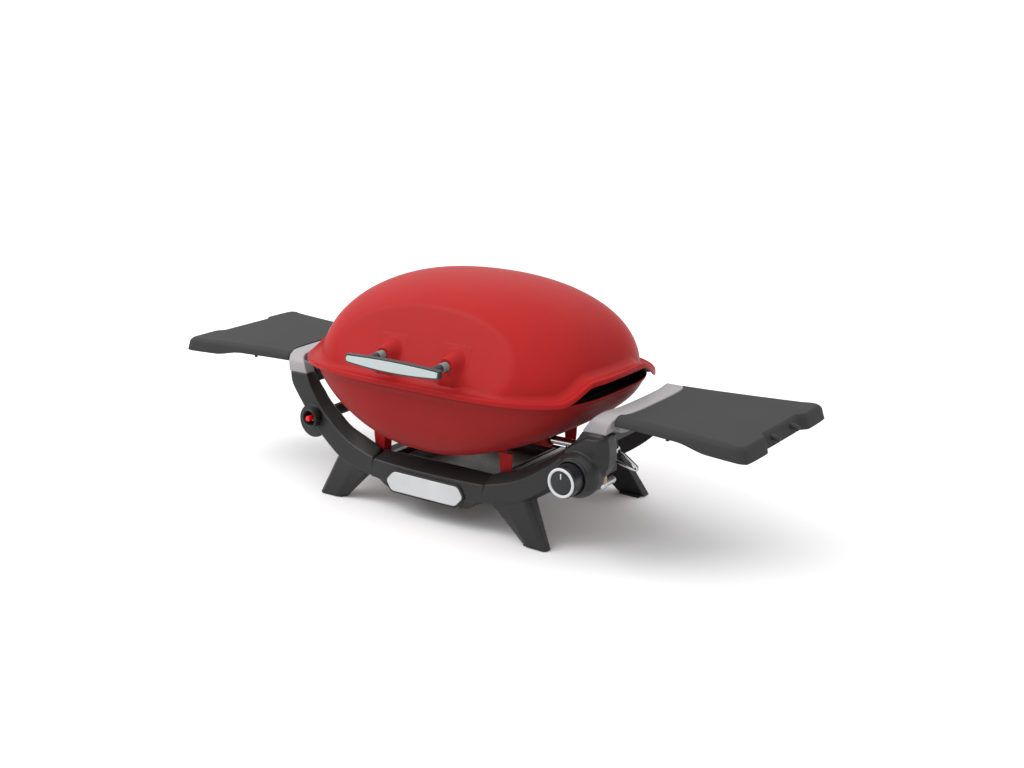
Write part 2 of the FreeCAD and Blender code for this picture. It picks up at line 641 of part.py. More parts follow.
def make_table(side):
    """A folding side table: a ribbed shell, open below, on a round nose that turns on the pin."""
    name = "right" if side == RIGHT else "left"
    pin_x, pin_z, skin = value("table_pin_x"), value("table_pin_z"), value("table_skin")
    top = value("cap_top")
    shell = table_outline(0, 230, top).common(table_side())
    hollow = table_outline(skin, 230, top - skin).common(table_side(skin))
    middle, inner = value("table_mid_y"), value("table_inner_y")
    nose = Part.makeCylinder(value("table_nose"), 2 * inner, Vector(pin_x, middle - inner, pin_z), Y_AXIS)
    ribs = [Part.makeBox(200, 3, 7, Vector(pin_x + 10, middle + y - 1.5, top - skin - 7))
            for y in (-70, 0, 70)]
    shell = shell.cut(hollow).multiFuse([nose] + ribs)
    length = value("knuckle_length") + 1
    gaps = [Part.makeBox(10.4, length, 18, Vector(pin_x - 6, y - length / 2, pin_z - 13))
            for y in (-90, 0, 90)]
    bore = Part.makeCylinder(value("table_pin + running_gap"), 320, Vector(pin_x, -160, pin_z), Y_AXIS)
    shell = shell.cut(bore).cut(gaps[0].multiFuse(gaps[1:]))
    return part(shaped("Table_" + name, mirrored_x(shell, side)), "%s_table" % name)


def table_pin(side):
    """The pin that a table turns on."""
    start = point("table_pin_x * %d" % side, "table_mid_y - table_inner_y + 2", "table_pin_z")
    return rod("TablePin%d" % side, start, Y_AXIS, "table_pin", "2 * table_inner_y - 4")


def make_pegs(side):
    """Tool pegs under a table."""
    name = "right" if side == RIGHT else "left"
    pieces = []
    for index, end in enumerate((FRONT, BACK)):
        y = "table_mid_y + %d * peg_y" % end
        start = point("peg_x * %d" % side, y, "peg_low")
        pieces.append(rod("Peg%s%d" % (name, index), start, Z_AXIS, "peg_radius",
                          "cap_top - table_skin - peg_low"))
    return part(group("Pegs_" + name, *pieces), "%s_table_pegs" % name)


# ---------------------------------------------------------------- catch pan

def make_catch_pan():
    """The pan under the firebox, the foil tray in it and the two rails that it slides in."""
    outer = box("PanOuter", ("-pan_half", "pan_half"), ("pan_front", "pan_back"), ("pan_low", "pan_high"))
    inner = box("PanInner", ("pan_wall - pan_half", "pan_half - pan_wall"),
                ("pan_front + pan_wall", "pan_back - pan_wall"), ("pan_low + pan_wall", "pan_high + 5"))
    sides = (("-pan_half - 7", "-pan_half + 1"), ("pan_half - 1", "pan_half + 7"))
    lips = [box("PanLip%d" % index, x, ("pan_front", "pan_back"), ("pan_high - 2", "pan_high"))
            for index, x in enumerate(sides)]
    pull = box("PanPull", ("-40", "40"), ("pan_back - 1", "pan_back + 16"), ("pan_high - 4", "pan_high"))
    pan = cut("Pan", fuse("PanBlank", outer, *lips, pull), inner)
    part(pan, "catch_pan")
    foil_outer = box("FoilOuter", ("-tray_half", "tray_half"), ("pan_front + tray_gap + 2",
                     "pan_back - tray_gap - 2"), ("pan_low + pan_wall", "pan_high - 3"))
    foil_inner = box("FoilInner", ("foil - tray_half", "tray_half - foil"),
                     ("pan_front + tray_gap + 2 + foil", "pan_back - tray_gap - 2 - foil"),
                     ("pan_low + pan_wall + foil", "pan_high + 5"))
    part(cut("Foil", foil_outer, foil_inner), "drip_tray")
    for name, side in (("left", LEFT), ("right", RIGHT)):
        make_pan_rail(name, side)


def make_pan_rail(name, side):
    """A channel that a lip of the catch pan slides in, hung from the support brackets."""
    lip = value("pan_half") + 7
    gap = value("pan_rail_gap")
    high, inner = value("pan_high"), value("pan_half") + 1.5
    outer = value("side_rail_in")
    span = value("support_y") - value("support_wall") / 2
    bar = Part.makeBox(outer - inner, 2 * span, 8, Vector(inner, -span, high - 5))
    slot = Part.makeBox(lip + gap - inner + 1, 2 * span + 2, 2 + 2 * gap,
                        Vector(inner - 1, -span - 1, high - 2 - gap))
    part(shaped("PanRail_" + name, mirrored_x(bar.cut(slot), side)), "%s_pan_rail" % name)


# ---------------------------------------------------------------- gas control

def control_axis(y):
    """A point on the knob's axis."""
    return point("knob_x", y, "knob_z")


def make_gas_control():
    """The valve behind the right leg, its housing, the bezel, the knob and the gas inlet."""
    leg = stencil("front_right_leg")
    barrel = turned("Housing", [("stem_bore", "0"), ("housing_radius - 3", "0"), ("housing_radius", "6"),
                                ("housing_radius", "30"), ("26", "housing_back - housing_face"),
                                ("stem_bore", "housing_back - housing_face")],
                    control_axis("housing_face"), Y_AXIS)
    part(cut("HousingCut", barrel, leg), "valve_housing")
    ring = turned("Bezel", [("knob_radius + 0.8", "0"), ("bezel_radius - 1.5", "0"), ("bezel_radius", "2"),
                            ("bezel_radius", "housing_face - bezel_face"),
                            ("knob_radius + 0.8", "housing_face - bezel_face")],
                  control_axis("bezel_face"), Y_AXIS)
    part(cut("BezelCut", ring, leg), "knob_bezel")
    knob = turned("Knob", [("stem_radius", "4"), ("knob_radius - 5", "4"), ("knob_radius - 1", "2.5"),
                           ("knob_radius", "4"), ("knob_radius", "knob_back - knob_face"),
                           ("stem_radius", "knob_back - knob_face")], control_axis("knob_face"), Y_AXIS)
    part(knob, "knob")
    ring = turned("KnobRing", [("knob_radius - 7", "0"), ("knob_radius - 2.5", "0"),
                               ("knob_radius - 1.5", "2.4"), ("knob_radius - 5", "4"),
                               ("knob_radius - 7", "4")], control_axis("knob_face"), Y_AXIS)
    part(ring, "knob_ring")
    disc = turned("KnobDisc", [("0", "1"), ("knob_radius - 7", "1"), ("knob_radius - 7", "4"), ("0", "4")],
                  control_axis("knob_face"), Y_AXIS)
    part(disc, "knob_face")
    part(rod("Stem", control_axis("knob_face + 4"), Y_AXIS, "stem_radius", "stem_end - knob_face - 4"),
         "valve_stem")
    washer = turned("Washer", [("stem_radius + running_gap", "0"), ("10", "0"), ("10", "1.4"),
                               ("stem_radius + running_gap", "1.4")], control_axis("knob_back"), Y_AXIS)
    part(washer, "stem_washer")
    spring = turned("KnobSpring", [("6.5", "0"), ("8.5", "0"), ("8.5", "housing_face - knob_back - 1.4"),
                                   ("6.5", "housing_face - knob_back - 1.4")],
                    control_axis("knob_back + 1.4"), Y_AXIS)
    part(spring, "knob_spring")
    make_valve()


def make_valve():
    """The brass valve body behind the housing, the inlet fitting and the wire loop."""
    block = box("ValveBlock", ("knob_x - 20", "knob_x + 16"), ("housing_back", "-44"),
                ("knob_z - 18", "tube_z + 14"))
    bore = rod("ValveBore", control_axis("housing_back - 1"), Y_AXIS, "stem_radius + 1", "40")
    part(cut("Valve", block, bore), "valve_body")
    inlet = turned("Inlet", [("0", "0"), ("inlet_radius + 2", "0"), ("inlet_radius + 2", "10"),
                             ("inlet_radius", "12"), ("inlet_radius", "inlet_end - inlet_start"),
                             ("0", "inlet_end - inlet_start")],
                   point("knob_x + 4", "inlet_start", "inlet_z"), Y_AXIS)
    part(inlet, "gas_inlet")
    neck = box("InletNeck", ("knob_x - 6", "knob_x + 12"), ("inlet_start + 1", "inlet_start + 9"),
               ("inlet_z", "knob_z - 18"))
    doc.recompute()
    part(cut("InletNeckCut", neck, stencil("gas_inlet")), "inlet_neck")
    hook = bent_rod([point("knob_x + 18.2", "-60", "182"), Vector(383, -54, 158), Vector(391, -52, 150),
                     Vector(385, -54, 146), point("knob_x + 18.2", "-60", "160")], 2.2)
    part(shaped("WireLoop", hook), "wire_loop")


# ---------------------------------------------------------------- igniter

def make_igniter():
    """The push igniter on the left leg: disc, cup, button, spring and spark module."""
    leg = stencil("front_left_leg")
    disc = rod("Disc", point("disc_x", "disc_face", "disc_z"), Y_AXIS, "disc_radius",
               "disc_back - disc_face")
    stem_way = rod("StemWay", point("button_x", "-200", "button_z"), Y_AXIS, "button_stem + 0.5", "200")
    part(cut("DiscCut", disc, leg, stem_way), "igniter_disc")
    cup = rod("CupBlank", point("button_x", "cup_face", "button_z"), Y_AXIS, "cup_radius", "30")
    bore = rod("CupBore", point("button_x", "cup_face - 1", "button_z"), Y_AXIS, "cup_bore", "40")
    part(cut("Cup", cup, bore, leg, disc), "igniter_cup")
    button = turned("Button", [("0", "0"), ("button_radius - 1", "0"), ("button_radius", "1"),
                               ("button_radius", "button_back - button_face"),
                               ("button_stem", "button_back - button_face"), ("button_stem", "85"),
                               ("0", "85")], point("button_x", "button_face", "button_z"), Y_AXIS)
    part(button, "igniter_button")
    spring = turned("ButtonSpring", [("button_stem + 0.6", "0"), ("button_radius - 0.4", "0"),
                                     ("button_radius - 0.4", "8"), ("button_stem + 0.6", "8")],
                    point("button_x", "button_back", "button_z"), Y_AXIS)
    part(spring, "button_spring")
    module = turned("Module", [("button_stem + 0.5", "0"), ("module_radius", "0"), ("module_radius", "54"),
                               ("0", "54"), ("0", "24"), ("button_stem + 0.5", "24")],
                    point("button_x", "module_back - 54", "button_z"), Y_AXIS)
    part(cut("ModuleCut", module, leg), "igniter_module")


# ---------------------------------------------------------------- assembly

def check_document():
    """Stop if any object failed or any sub-part has a bad shape."""
    doc.recompute()
    for item in doc.Objects:
        failed = [state for state in item.State if state in ("Invalid", "Error")]
        if failed:
            raise RuntimeError("%s is %s" % (item.Label, failed))
    for item in sub_parts:
        if item.Shape.isNull() or not item.Shape.isValid() or not item.Shape.Solids:
            raise RuntimeError("bad shape in " + item.Label)


def centre_grill():
    """Move every sub-part along Y so that the origin lies under the middle of the grill."""
    front = value("handle_front + insert_depth")
    back = value("hinge_y + hinge_knuckle")
    shift = Placement(Y_AXIS * (front - back) / 2, Rotation())
    for item in sub_parts:
        item.Placement = shift.multiply(item.Placement)


def write_parts():
    """Write one STEP file for each sub-part."""
    os.makedirs("parts", exist_ok=True)
    for item in sub_parts:
        item.Shape.exportStep("parts/%s.step" % item.Label)


make_lid()
part(group("LidLugs", lid_lug(LEFT), lid_lug(RIGHT)), "lid_lugs")
make_lid_bumpers()
make_handle()
make_hinge_pin()
make_firebox()
corners = [(side, end) for side in (LEFT, RIGHT) for end in (FRONT, BACK)]
part(group("Supports", *[support(side, end) for side, end in corners]), "firebox_supports")
make_grate(LEFT)
make_grate(RIGHT)
make_burner()
for side, end in corners:
    make_leg(side, end)
for side in (LEFT, RIGHT):
    make_beam(side)
    make_cap(side)
    make_table(side)
    make_pegs(side)
part(group("TablePins", table_pin(LEFT), table_pin(RIGHT)), "table_pins")
make_pads()
make_rails()
make_side_rails()
make_joint_plates()
make_badge()
make_catch_pan()
doc.recompute()
make_gas_control()
make_igniter()
check_document()
centre_grill()
check_document()
write_parts()
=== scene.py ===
"""Portable gas barbecue grill: the finished surfaces, materials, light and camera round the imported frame.

Metres. Places are first given in millimetres from the middle of the firebox on the floor, as the grill is
drawn, and at() turns them into the frame.
"""
import math

import bmesh
import bpy
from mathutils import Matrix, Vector


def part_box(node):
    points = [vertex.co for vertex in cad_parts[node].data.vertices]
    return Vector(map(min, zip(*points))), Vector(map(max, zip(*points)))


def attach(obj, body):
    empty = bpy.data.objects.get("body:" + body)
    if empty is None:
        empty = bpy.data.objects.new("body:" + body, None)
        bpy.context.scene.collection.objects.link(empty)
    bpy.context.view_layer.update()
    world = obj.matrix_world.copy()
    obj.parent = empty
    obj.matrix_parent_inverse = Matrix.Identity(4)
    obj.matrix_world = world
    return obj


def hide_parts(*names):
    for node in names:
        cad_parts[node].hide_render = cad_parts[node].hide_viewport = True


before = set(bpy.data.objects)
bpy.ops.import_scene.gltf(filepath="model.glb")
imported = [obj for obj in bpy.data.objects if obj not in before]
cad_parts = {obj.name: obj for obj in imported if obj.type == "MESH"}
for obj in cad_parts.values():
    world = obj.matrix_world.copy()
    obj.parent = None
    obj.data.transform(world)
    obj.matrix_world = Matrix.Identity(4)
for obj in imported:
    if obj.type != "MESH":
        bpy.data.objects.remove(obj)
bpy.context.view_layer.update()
MM = 0.001
SAME_SPOT = 1e-6
lid_low, lid_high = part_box("lid_shell")
MIDDLE_Y = (lid_low.y + lid_high.y) / 2
FRONT, BACK = -1, 1
LEFT, RIGHT = -1, 1
SIDE_NAMES = {LEFT: "left", RIGHT: "right"}
X_AXIS, Y_AXIS, Z_AXIS = (1, 0, 0), (0, 1, 0), (0, 0, 1)
FRAME_TOP = 229.0
CAP_TOP = 263.6


# ---------------------------------------------------------------- small helpers

def at(x, y, z):
    """A place in millimetres from the firebox's middle, in the frame."""
    return Vector((x * MM, y * MM + MIDDLE_Y, z * MM))


def smooth_step(low, high, number):
    """0 below low, 1 above high and a smooth rise between."""
    share = min(max((number - low) / (high - low), 0.0), 1.0)
    return share * share * (3 - 2 * share)


def mix(start, end, share):
    """A number or vector part of the way between two."""
    return start + (end - start) * share


def place(piece, body, slot, *nodes):
    """Let a piece ride on a body and stand for CAD nodes; the slot is not used."""
    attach(piece, body)
    if nodes:
        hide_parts(*nodes)
    return piece


def mesh_piece(name, corners, faces, material):
    """A smooth-shaded object from corners and faces, with its normals turned outwards."""
    data = bpy.data.meshes.new(name)
    data.from_pydata([tuple(corner) for corner in corners], [], faces)
    shape = bmesh.new()
    shape.from_mesh(data)
    bmesh.ops.remove_doubles(shape, verts=shape.verts, dist=SAME_SPOT)
    bmesh.ops.recalc_face_normals(shape, faces=shape.faces)
    shape.to_mesh(data)
    shape.free()
    data.shade_smooth()
    data.materials.append(material)
    piece = bpy.data.objects.new(name, data)
    bpy.context.scene.collection.objects.link(piece)
    return piece


def modify(piece, kind, **settings):
    """Add a modifier with its settings."""
    modifier = piece.modifiers.new(kind.lower(), kind)
    for name, setting in settings.items():
        setattr(modifier, name, setting)
    return modifier


SHARP_ANGLE, BEVEL_ANGLE = math.radians(40), math.radians(32)


def soften(piece, width, segments=3):
    """Round a piece's sharp edges."""
    piece.data.set_sharp_from_angle(angle=SHARP_ANGLE)
    modify(piece, "BEVEL", width=width * MM, segments=segments, limit_method="ANGLE",
           angle_limit=BEVEL_ANGLE, use_clamp_overlap=True, harden_normals=False)
    modify(piece, "WEIGHTED_NORMAL", keep_sharp=True)
    return piece


def crisp(piece, width):
    """Flat faces with small rounded edges, for sheet and plate."""
    for face in piece.data.polygons:
        face.use_smooth = False
    modify(piece, "BEVEL", width=width * MM, segments=3, limit_method="ANGLE",
           angle_limit=SHARP_ANGLE, use_clamp_overlap=True)
    return piece


def apply_modifiers(piece):
    """Turn a piece's modifiers into plain mesh."""
    graph = bpy.context.evaluated_depsgraph_get()
    data = bpy.data.meshes.new_from_object(piece.evaluated_get(graph))
    piece.modifiers.clear()
    piece.data = data
    return piece


def join(name, pieces):
    """One object from several."""
    shape = bmesh.new()
    for piece in pieces:
        apply_modifiers(piece)
        shape.from_mesh(piece.data)
    data = bpy.data.meshes.new(name)
    shape.to_mesh(data)
    shape.free()
    for material in pieces[0].data.materials:
        data.materials.append(material)
    for piece in pieces:
        bpy.data.objects.remove(piece)
    joined = bpy.data.objects.new(name, data)
    bpy.context.scene.collection.objects.link(joined)
    return joined


def moulded(piece, voxel, passes, keep=0.5):
    """Merge a piece's overlapping solids into one skin with soft moulded edges."""
    modify(piece, "REMESH", mode="VOXEL", voxel_size=voxel * MM, use_smooth_shade=True)
    modify(piece, "SMOOTH", factor=0.5, iterations=passes)
    modify(piece, "DECIMATE", ratio=keep)
    apply_modifiers(piece)
    piece.data.shade_smooth()
    return piece


def ring_faces(rows, count, closed=True):
    """Quads between rows of count corners each."""
    faces = []
    steps = count if closed else count - 1
    for row in range(rows - 1):
        for step in range(steps):
            after = (step + 1) % count
            faces.append((row * count + step, row * count + after,
                          (row + 1) * count + after, (row + 1) * count + step))
    return faces


def lathe(name, profile, centre, axis, material, count=64):
    """A turned piece: (radius, distance along the axis) in millimetres, round an axis through centre."""
    turn = Vector((0, 0, 1)).rotation_difference(Vector(axis)).to_matrix()
    corners = []
    for radius, along in profile:
        for step in range(count):
            angle = 2 * math.pi * step / count
            spot = Vector((radius * math.cos(angle), radius * math.sin(angle), along)) * MM
            corners.append(centre + turn @ spot)
    piece = mesh_piece(name, corners, ring_faces(len(profile), count), material)
    close_holes(piece)
    return piece


def close_holes(piece):
    """Fill open rings with flat faces and turn all normals outwards."""
    shape = bmesh.new()
    shape.from_mesh(piece.data)
    rims = [edge for edge in shape.edges if edge.is_boundary]
    bmesh.ops.holes_fill(shape, edges=rims, sides=0)
    bmesh.ops.recalc_face_normals(shape, faces=shape.faces)
    shape.to_mesh(piece.data)
    shape.free()
    piece.data.shade_smooth()


def loft(name, sections, material):
    """A solid through outlines that have the same number of corners, closed at both ends."""
    count = len(sections[0])
    corners = [corner for section in sections for corner in section]
    faces = ring_faces(len(sections), count)
    faces.append(tuple(range(count)))
    faces.append(tuple(range(len(corners) - 1, len(corners) - count - 1, -1)))
    return mesh_piece(name, corners, faces, material)


def slab(name, outline, near, far, material):
    """A plate with an (x, z) outline in millimetres between two depths."""
    return loft(name, [[at(x, y, z) for x, z in outline] for y in (near, far)], material)


def domed(name, rows, apex, material):
    """A skin through rings of corners that closes in a point."""
    count = len(rows[0])
    corners = [corner for row in rows for corner in row] + [apex]
    last = (len(rows) - 1) * count
    faces = ring_faces(len(rows), count)
    faces += [(last + step, last + (step + 1) % count, len(corners) - 1) for step in range(count)]
    return mesh_piece(name, corners, faces, material)


def thicken(piece, thickness):
    """Give a domed skin its thickness, with the dark liner on the inside."""
    piece.data.materials.append(liner)
    modify(piece, "SOLIDIFY", thickness=thickness * MM, offset=-1, use_even_offset=True, use_rim=True,
           material_offset=1, material_offset_rim=0)


def bend(points, steps=10):
    """A smooth open line through a few (a, b) points, as a Catmull-Rom curve."""
    ends = [points[0]] + list(points) + [points[-1]]
    line = []
    for index in range(1, len(ends) - 2):
        before, start, end, after = (Vector(ends[index + shift]) for shift in (-1, 0, 1, 2))
        for step in range(steps):
            t = step / steps
            line.append(0.5 * (2 * start + (end - before) * t
                               + (2 * before - 5 * start + 4 * end - after) * t ** 2
                               + (3 * start - before - 3 * end + after) * t ** 3))
    line.append(Vector(points[-1]))
    return line


ARC_STEPS = 6


def rounded(points, reach):
    """A closed outline with each corner cut back by a reach and rounded."""
    line = []
    for index, corner in enumerate(points):
        spot = Vector(corner)
        before = Vector(points[index - 1]) - spot
        after = Vector(points[(index + 1) % len(points)]) - spot
        start, end = spot + before.normalized() * reach, spot + after.normalized() * reach
        for step in range(ARC_STEPS + 1):
            share = step / ARC_STEPS
            line.append(tuple(mix(mix(start, spot, share), mix(spot, end, share), share)))
    return line


def wire(name, places, radius, material):
    """A round wire along a smooth line through places in the frame."""
    curve = bpy.data.curves.new(name, "CURVE")
    curve.dimensions = "3D"
    curve.bevel_depth = radius * MM
    curve.bevel_resolution = 5
    curve.use_fill_caps = True
    line = curve.splines.new("NURBS")
    line.points.add(len(places) - 1)
    for point, spot in zip(line.points, places):
        point.co = (*spot, 1)
    line.order_u = 3
    line.use_endpoint_u = True
    line.resolution_u = 10
    holder = bpy.data.objects.new(name, curve)
    bpy.context.scene.collection.objects.link(holder)
    data = bpy.data.meshes.new_from_object(holder.evaluated_get(bpy.context.evaluated_depsgraph_get()))
    bpy.data.objects.remove(holder)
    data.name = name
    data.materials.clear()
    data.materials.append(material)
    data.shade_smooth()
    piece = bpy.data.objects.new(name, data)
    bpy.context.scene.collection.objects.link(piece)
    return piece


# ---------------------------------------------------------------- materials

def new_material(name, base, rough, metal=0.0):
    """A material with its shader and an object-space coordinate."""
    material = bpy.data.materials.new(name)
    material.use_nodes = True
    tree = material.node_tree
    shader = tree.nodes["Principled BSDF"]
    shader.inputs["Base Color"].default_value = (*base, 1)
    shader.inputs["Roughness"].default_value = rough
    shader.inputs["Metallic"].default_value = metal
    spot = tree.nodes.new("ShaderNodeTexCoord")
    return material, tree, shader, spot.outputs["Object"]


def noise_node(tree, coordinate, scale, stretch=(1, 1, 1)):
    """Noise of a given scale, stretched along the axes."""
    mapping = tree.nodes.new("ShaderNodeMapping")
    mapping.inputs["Scale"].default_value = stretch
    tree.links.new(coordinate, mapping.inputs["Vector"])
    noise = tree.nodes.new("ShaderNodeTexNoise")
    noise.inputs["Scale"].default_value = scale
    noise.inputs["Detail"].default_value = 3.0
    tree.links.new(mapping.outputs["Vector"], noise.inputs["Vector"])
    return noise.outputs["Fac"]


def ranged(tree, source, low, high):
    """Stretch the middle of a noise, 0.3 to 0.7, to the range from low to high."""
    node = tree.nodes.new("ShaderNodeMapRange")
    node.inputs["From Min"].default_value = 0.3
    node.inputs["From Max"].default_value = 0.7
    node.inputs["To Min"].default_value = low
    node.inputs["To Max"].default_value = high
    tree.links.new(source, node.inputs["Value"])
    return node.outputs["Result"]


def tinted(tree, shader, source, dark, light):
    """Vary the base colour between two shades."""
    blend = tree.nodes.new("ShaderNodeMix")
    blend.data_type = "RGBA"
    blend.inputs["A"].default_value = (*dark, 1)
    blend.inputs["B"].default_value = (*light, 1)
    tree.links.new(source, blend.inputs["Factor"])
    tree.links.new(blend.outputs["Result"], shader.inputs["Base Color"])


def bumped(tree, shader, source, height):
    """Raise the surface by a height in millimetres."""
    bump = tree.nodes.new("ShaderNodeBump")
    bump.inputs["Distance"].default_value = height * MM
    bump.inputs["Strength"].default_value = 1.0
    tree.links.new(source, bump.inputs["Height"])
    tree.links.new(bump.outputs["Normal"], shader.inputs["Normal"])


def scaled(colour, share):
    """A darker or lighter shade."""
    return tuple(channel * share for channel in colour)


def surface(name, base, rough, metal=0.0, grain=900, depth=0.05, spread=0.08, stretch=(1, 1, 1),
            mottled=12.0, gloss=0.3):
    """A finish with fine grain, slow colour drift and uneven gloss."""
    material, tree, shader, spot = new_material(name, base, rough, metal)
    fine = noise_node(tree, spot, grain, stretch)
    slow = noise_node(tree, spot, mottled)
    tinted(tree, shader, ranged(tree, slow, 0, 1), scaled(base, 1 - spread), scaled(base, 1 + spread))
    tree.links.new(ranged(tree, fine, rough * 0.88, min(rough * 1.12, 1)), shader.inputs["Roughness"])
    bumped(tree, shader, fine, depth)
    shader.inputs["Specular IOR Level"].default_value = 0.5 if metal else gloss
    return material


red_enamel = surface("red_enamel", (0.275, 0.0105, 0.0105), 0.40, grain=1400, depth=0.012, spread=0.03,
                     gloss=0.06)
# painted shade: the bowl and its port take the lid's red enamel made darker, standing in for the shade under
# the lid's flange
bowl_enamel_painted_shade = surface("bowl_enamel_painted_shade", (0.205, 0.0125, 0.0125), 0.45, grain=1400, depth=0.012, spread=0.03,
                      gloss=0.06)
liner = surface("liner", (0.012, 0.011, 0.010), 0.7, grain=500, depth=0.2, spread=0.4, mottled=30)
frame_plastic = surface("frame_plastic", (0.017, 0.0165, 0.0165), 0.42, grain=1500, depth=0.04, gloss=0.25)
cap_plastic = surface("cap_plastic", (0.225, 0.212, 0.218), 0.45, grain=1500, depth=0.02, spread=0.02)
table_plastic = surface("table_plastic", (0.032, 0.032, 0.032), 0.6, grain=1200, depth=0.06, spread=0.04,
                        gloss=0.06)
handle_dark = surface("handle_dark", (0.022, 0.026, 0.027), 0.4, grain=1200, depth=0.03)
handle_light = surface("handle_light", (0.36, 0.40, 0.40), 0.45, grain=1500, depth=0.02, spread=0.02)
spacer_grey = surface("spacer_grey", (0.13, 0.16, 0.16), 0.45, grain=1500, depth=0.02)
steel = surface("steel", (0.30, 0.30, 0.30), 0.35, 1.0, grain=700, depth=0.02, stretch=(1, 1, 8))
chrome = surface("chrome", (0.50, 0.50, 0.51), 0.14, 1.0, grain=300, depth=0.004, spread=0.02)
brass = surface("brass", (0.40, 0.31, 0.16), 0.3, 1.0, grain=500, depth=0.02)
brushed = surface("brushed_plate", (0.50, 0.51, 0.515), 0.36, 0.7, grain=420, depth=0.012, spread=0.05,
                  stretch=(0.04, 1, 6), mottled=20)
pan_enamel = surface("pan_enamel", (0.020, 0.010, 0.009), 0.3, grain=600, depth=0.03, gloss=0.4)
foil = surface("foil", (0.13, 0.128, 0.125), 0.42, 0.9, grain=260, depth=0.03, spread=0.06)
cast_iron = surface("cast_iron", (0.012, 0.012, 0.013), 0.6, grain=450, depth=0.15, spread=0.2)
rubber = surface("rubber", (0.014, 0.014, 0.014), 0.75, grain=900, depth=0.05)
knob_black = surface("knob_black", (0.012, 0.012, 0.013), 0.28, grain=1400, depth=0.01)
knob_white = surface("knob_white", (0.46, 0.475, 0.49), 0.35, grain=1400, depth=0.01, spread=0.02)
button_red = surface("button_red", (0.62, 0.003, 0.003), 0.3, grain=1200, depth=0.01, spread=0.03)


# ---------------------------------------------------------------- lid and bowl

def oval_radius(half_x, half_y, power, angle):
    """How far a superellipse reaches in a direction."""
    across, along = abs(math.cos(angle)) / half_x, abs(math.sin(angle)) / half_y
    return (across ** power + along ** power) ** (-1 / power)


def shrink(rise, bulge):
    """How much narrower a dome is at a share of its height."""
    return max(1 - rise ** bulge, 0.0) ** (1 / bulge)


LID_BASE, LID_RISE, LID_LEAN = 281.0, 169.0, 20.0
DOME_HALF_X, DOME_HALF_Y = 306.0, 207.0
LIP_HALF_X, LIP_HALF_Y, LIP_POWER = 334.0, 222.0, 3.4
FACET_Y, FACET_SLOPE, FACET_SOFT, FACET_FAR, LEDGE_Z = -194.6, 0.516, 1.7, 30, 282.0


def facet_at(z):
    """The leaning facet's y at a height."""
    return FACET_Y + FACET_SLOPE * (z - LEDGE_Z)


def facet(y, z):
    """Press the dome's front against the leaning facet, with a soft edge."""
    over = (y - facet_at(z)) / FACET_SOFT
    if over > FACET_FAR:
        return y
    return facet_at(z) + FACET_SOFT * math.log1p(math.exp(over))


def lid_point(angle, height):
    """A point of the lid's dome at a height."""
    rise = (height - LID_BASE) / LID_RISE
    power = mix(3.3, 2.05, rise)
    reach = oval_radius(DOME_HALF_X * shrink(rise, 2.35), DOME_HALF_Y * shrink(rise, 2.17), power, angle)
    x, y = reach * math.cos(angle), reach * math.sin(angle) + LID_LEAN * rise
    return x, facet(y, height), height


VENT_RISE, VENT_FROM_X = 31.5, 200.0
VENT_STARTS = {LEFT: (-128, 0), RIGHT: (-165, -98)}
VENT_ENDS = (54, 134)


def vent_arch(x, y):
    """How far the flange rises over the side vents."""
    if abs(x) < VENT_FROM_X:
        return 0.0
    rising = smooth_step(*VENT_STARTS[LEFT if x < 0 else RIGHT], y)
    return VENT_RISE * rising * (1 - smooth_step(*VENT_ENDS, y))


# how far out from the dome's foot to the lip's edge, and the height there
FLANGE_PROFILE = [(1.0, 269.8), (1.0, 270.8), (1.0, 273.5), (1.0, 276.0), (0.985, 278.0), (0.95, 279.4),
                  (0.90, 279.9), (0.84, 279.4), (0.72, 278.0), (0.55, 277.2), (0.38, 277.6), (0.24, 279.2),
                  (0.13, 281.9), (0.06, 284.4), (0.02, 286.0)]


def make_lid():
    """The lid as one skin: lip, ledge and dome, raised over the side vents."""
    count, dome_rows = 288, 64
    foot_height, dome_step, last_turn = 286.6, 1.2, math.radians(89.2)
    flange = [[] for _ in FLANGE_PROFILE]
    dome = [[] for _ in range(dome_rows)]
    for step in range(count):
        angle = 2 * math.pi * step / count
        edge = oval_radius(LIP_HALF_X, LIP_HALF_Y, LIP_POWER, angle)
        edge_x, edge_y = edge * math.cos(angle), edge * math.sin(angle)
        arch = vent_arch(edge_x, edge_y)
        foot_x, foot_y, foot_z = lid_point(angle, foot_height + arch)
        for row, (share, height) in zip(flange, FLANGE_PROFILE):
            row.append(at(mix(foot_x, edge_x, share), mix(foot_y, edge_y, share), height + arch))
        low = math.asin((foot_z + dome_step - LID_BASE) / LID_RISE)
        for index, row in enumerate(dome):
            turn = mix(low, last_turn, index / (dome_rows - 1))
            row.append(at(*lid_point(angle, LID_BASE + LID_RISE * math.sin(turn))))
    lid = domed("lid_dome", flange + dome, at(0, LID_LEAN, LID_BASE + LID_RISE), red_enamel)
    thicken(lid, 2.6)
    modify(lid, "SUBSURF", levels=1, render_levels=1)
    return place(lid, "lid", "red_enamel", "lid_shell")


POST_X, POST_Z = 73.3, 320.0
PAD_Y, PAD_RADIUS, PAD_FOOT, PAD_REACH = -195.0, 13.2, 29.0, 40.0
BEAD_RADIUS, BEAD_HEIGHT, RIM_HEIGHT = 10.3, 0.8, 0.9


def pad_rise(x, z):
    """How far a handle pad stands out of the facet: a beaded disc with a web down to the ledge."""
    ring = math.hypot(x, z - POST_Z)
    spread = ring if z > POST_Z else abs(x)
    beads = RIM_HEIGHT * math.exp(-((spread - PAD_RADIUS) / RIM_HEIGHT) ** 2)
    if z > POST_Z - 6:
        beads += BEAD_HEIGHT * math.exp(-((ring - BEAD_RADIUS) / BEAD_HEIGHT) ** 2)
    return (facet_at(z) - PAD_Y + beads) * (1 - smooth_step(PAD_RADIUS, PAD_FOOT, spread)) ** 1.15


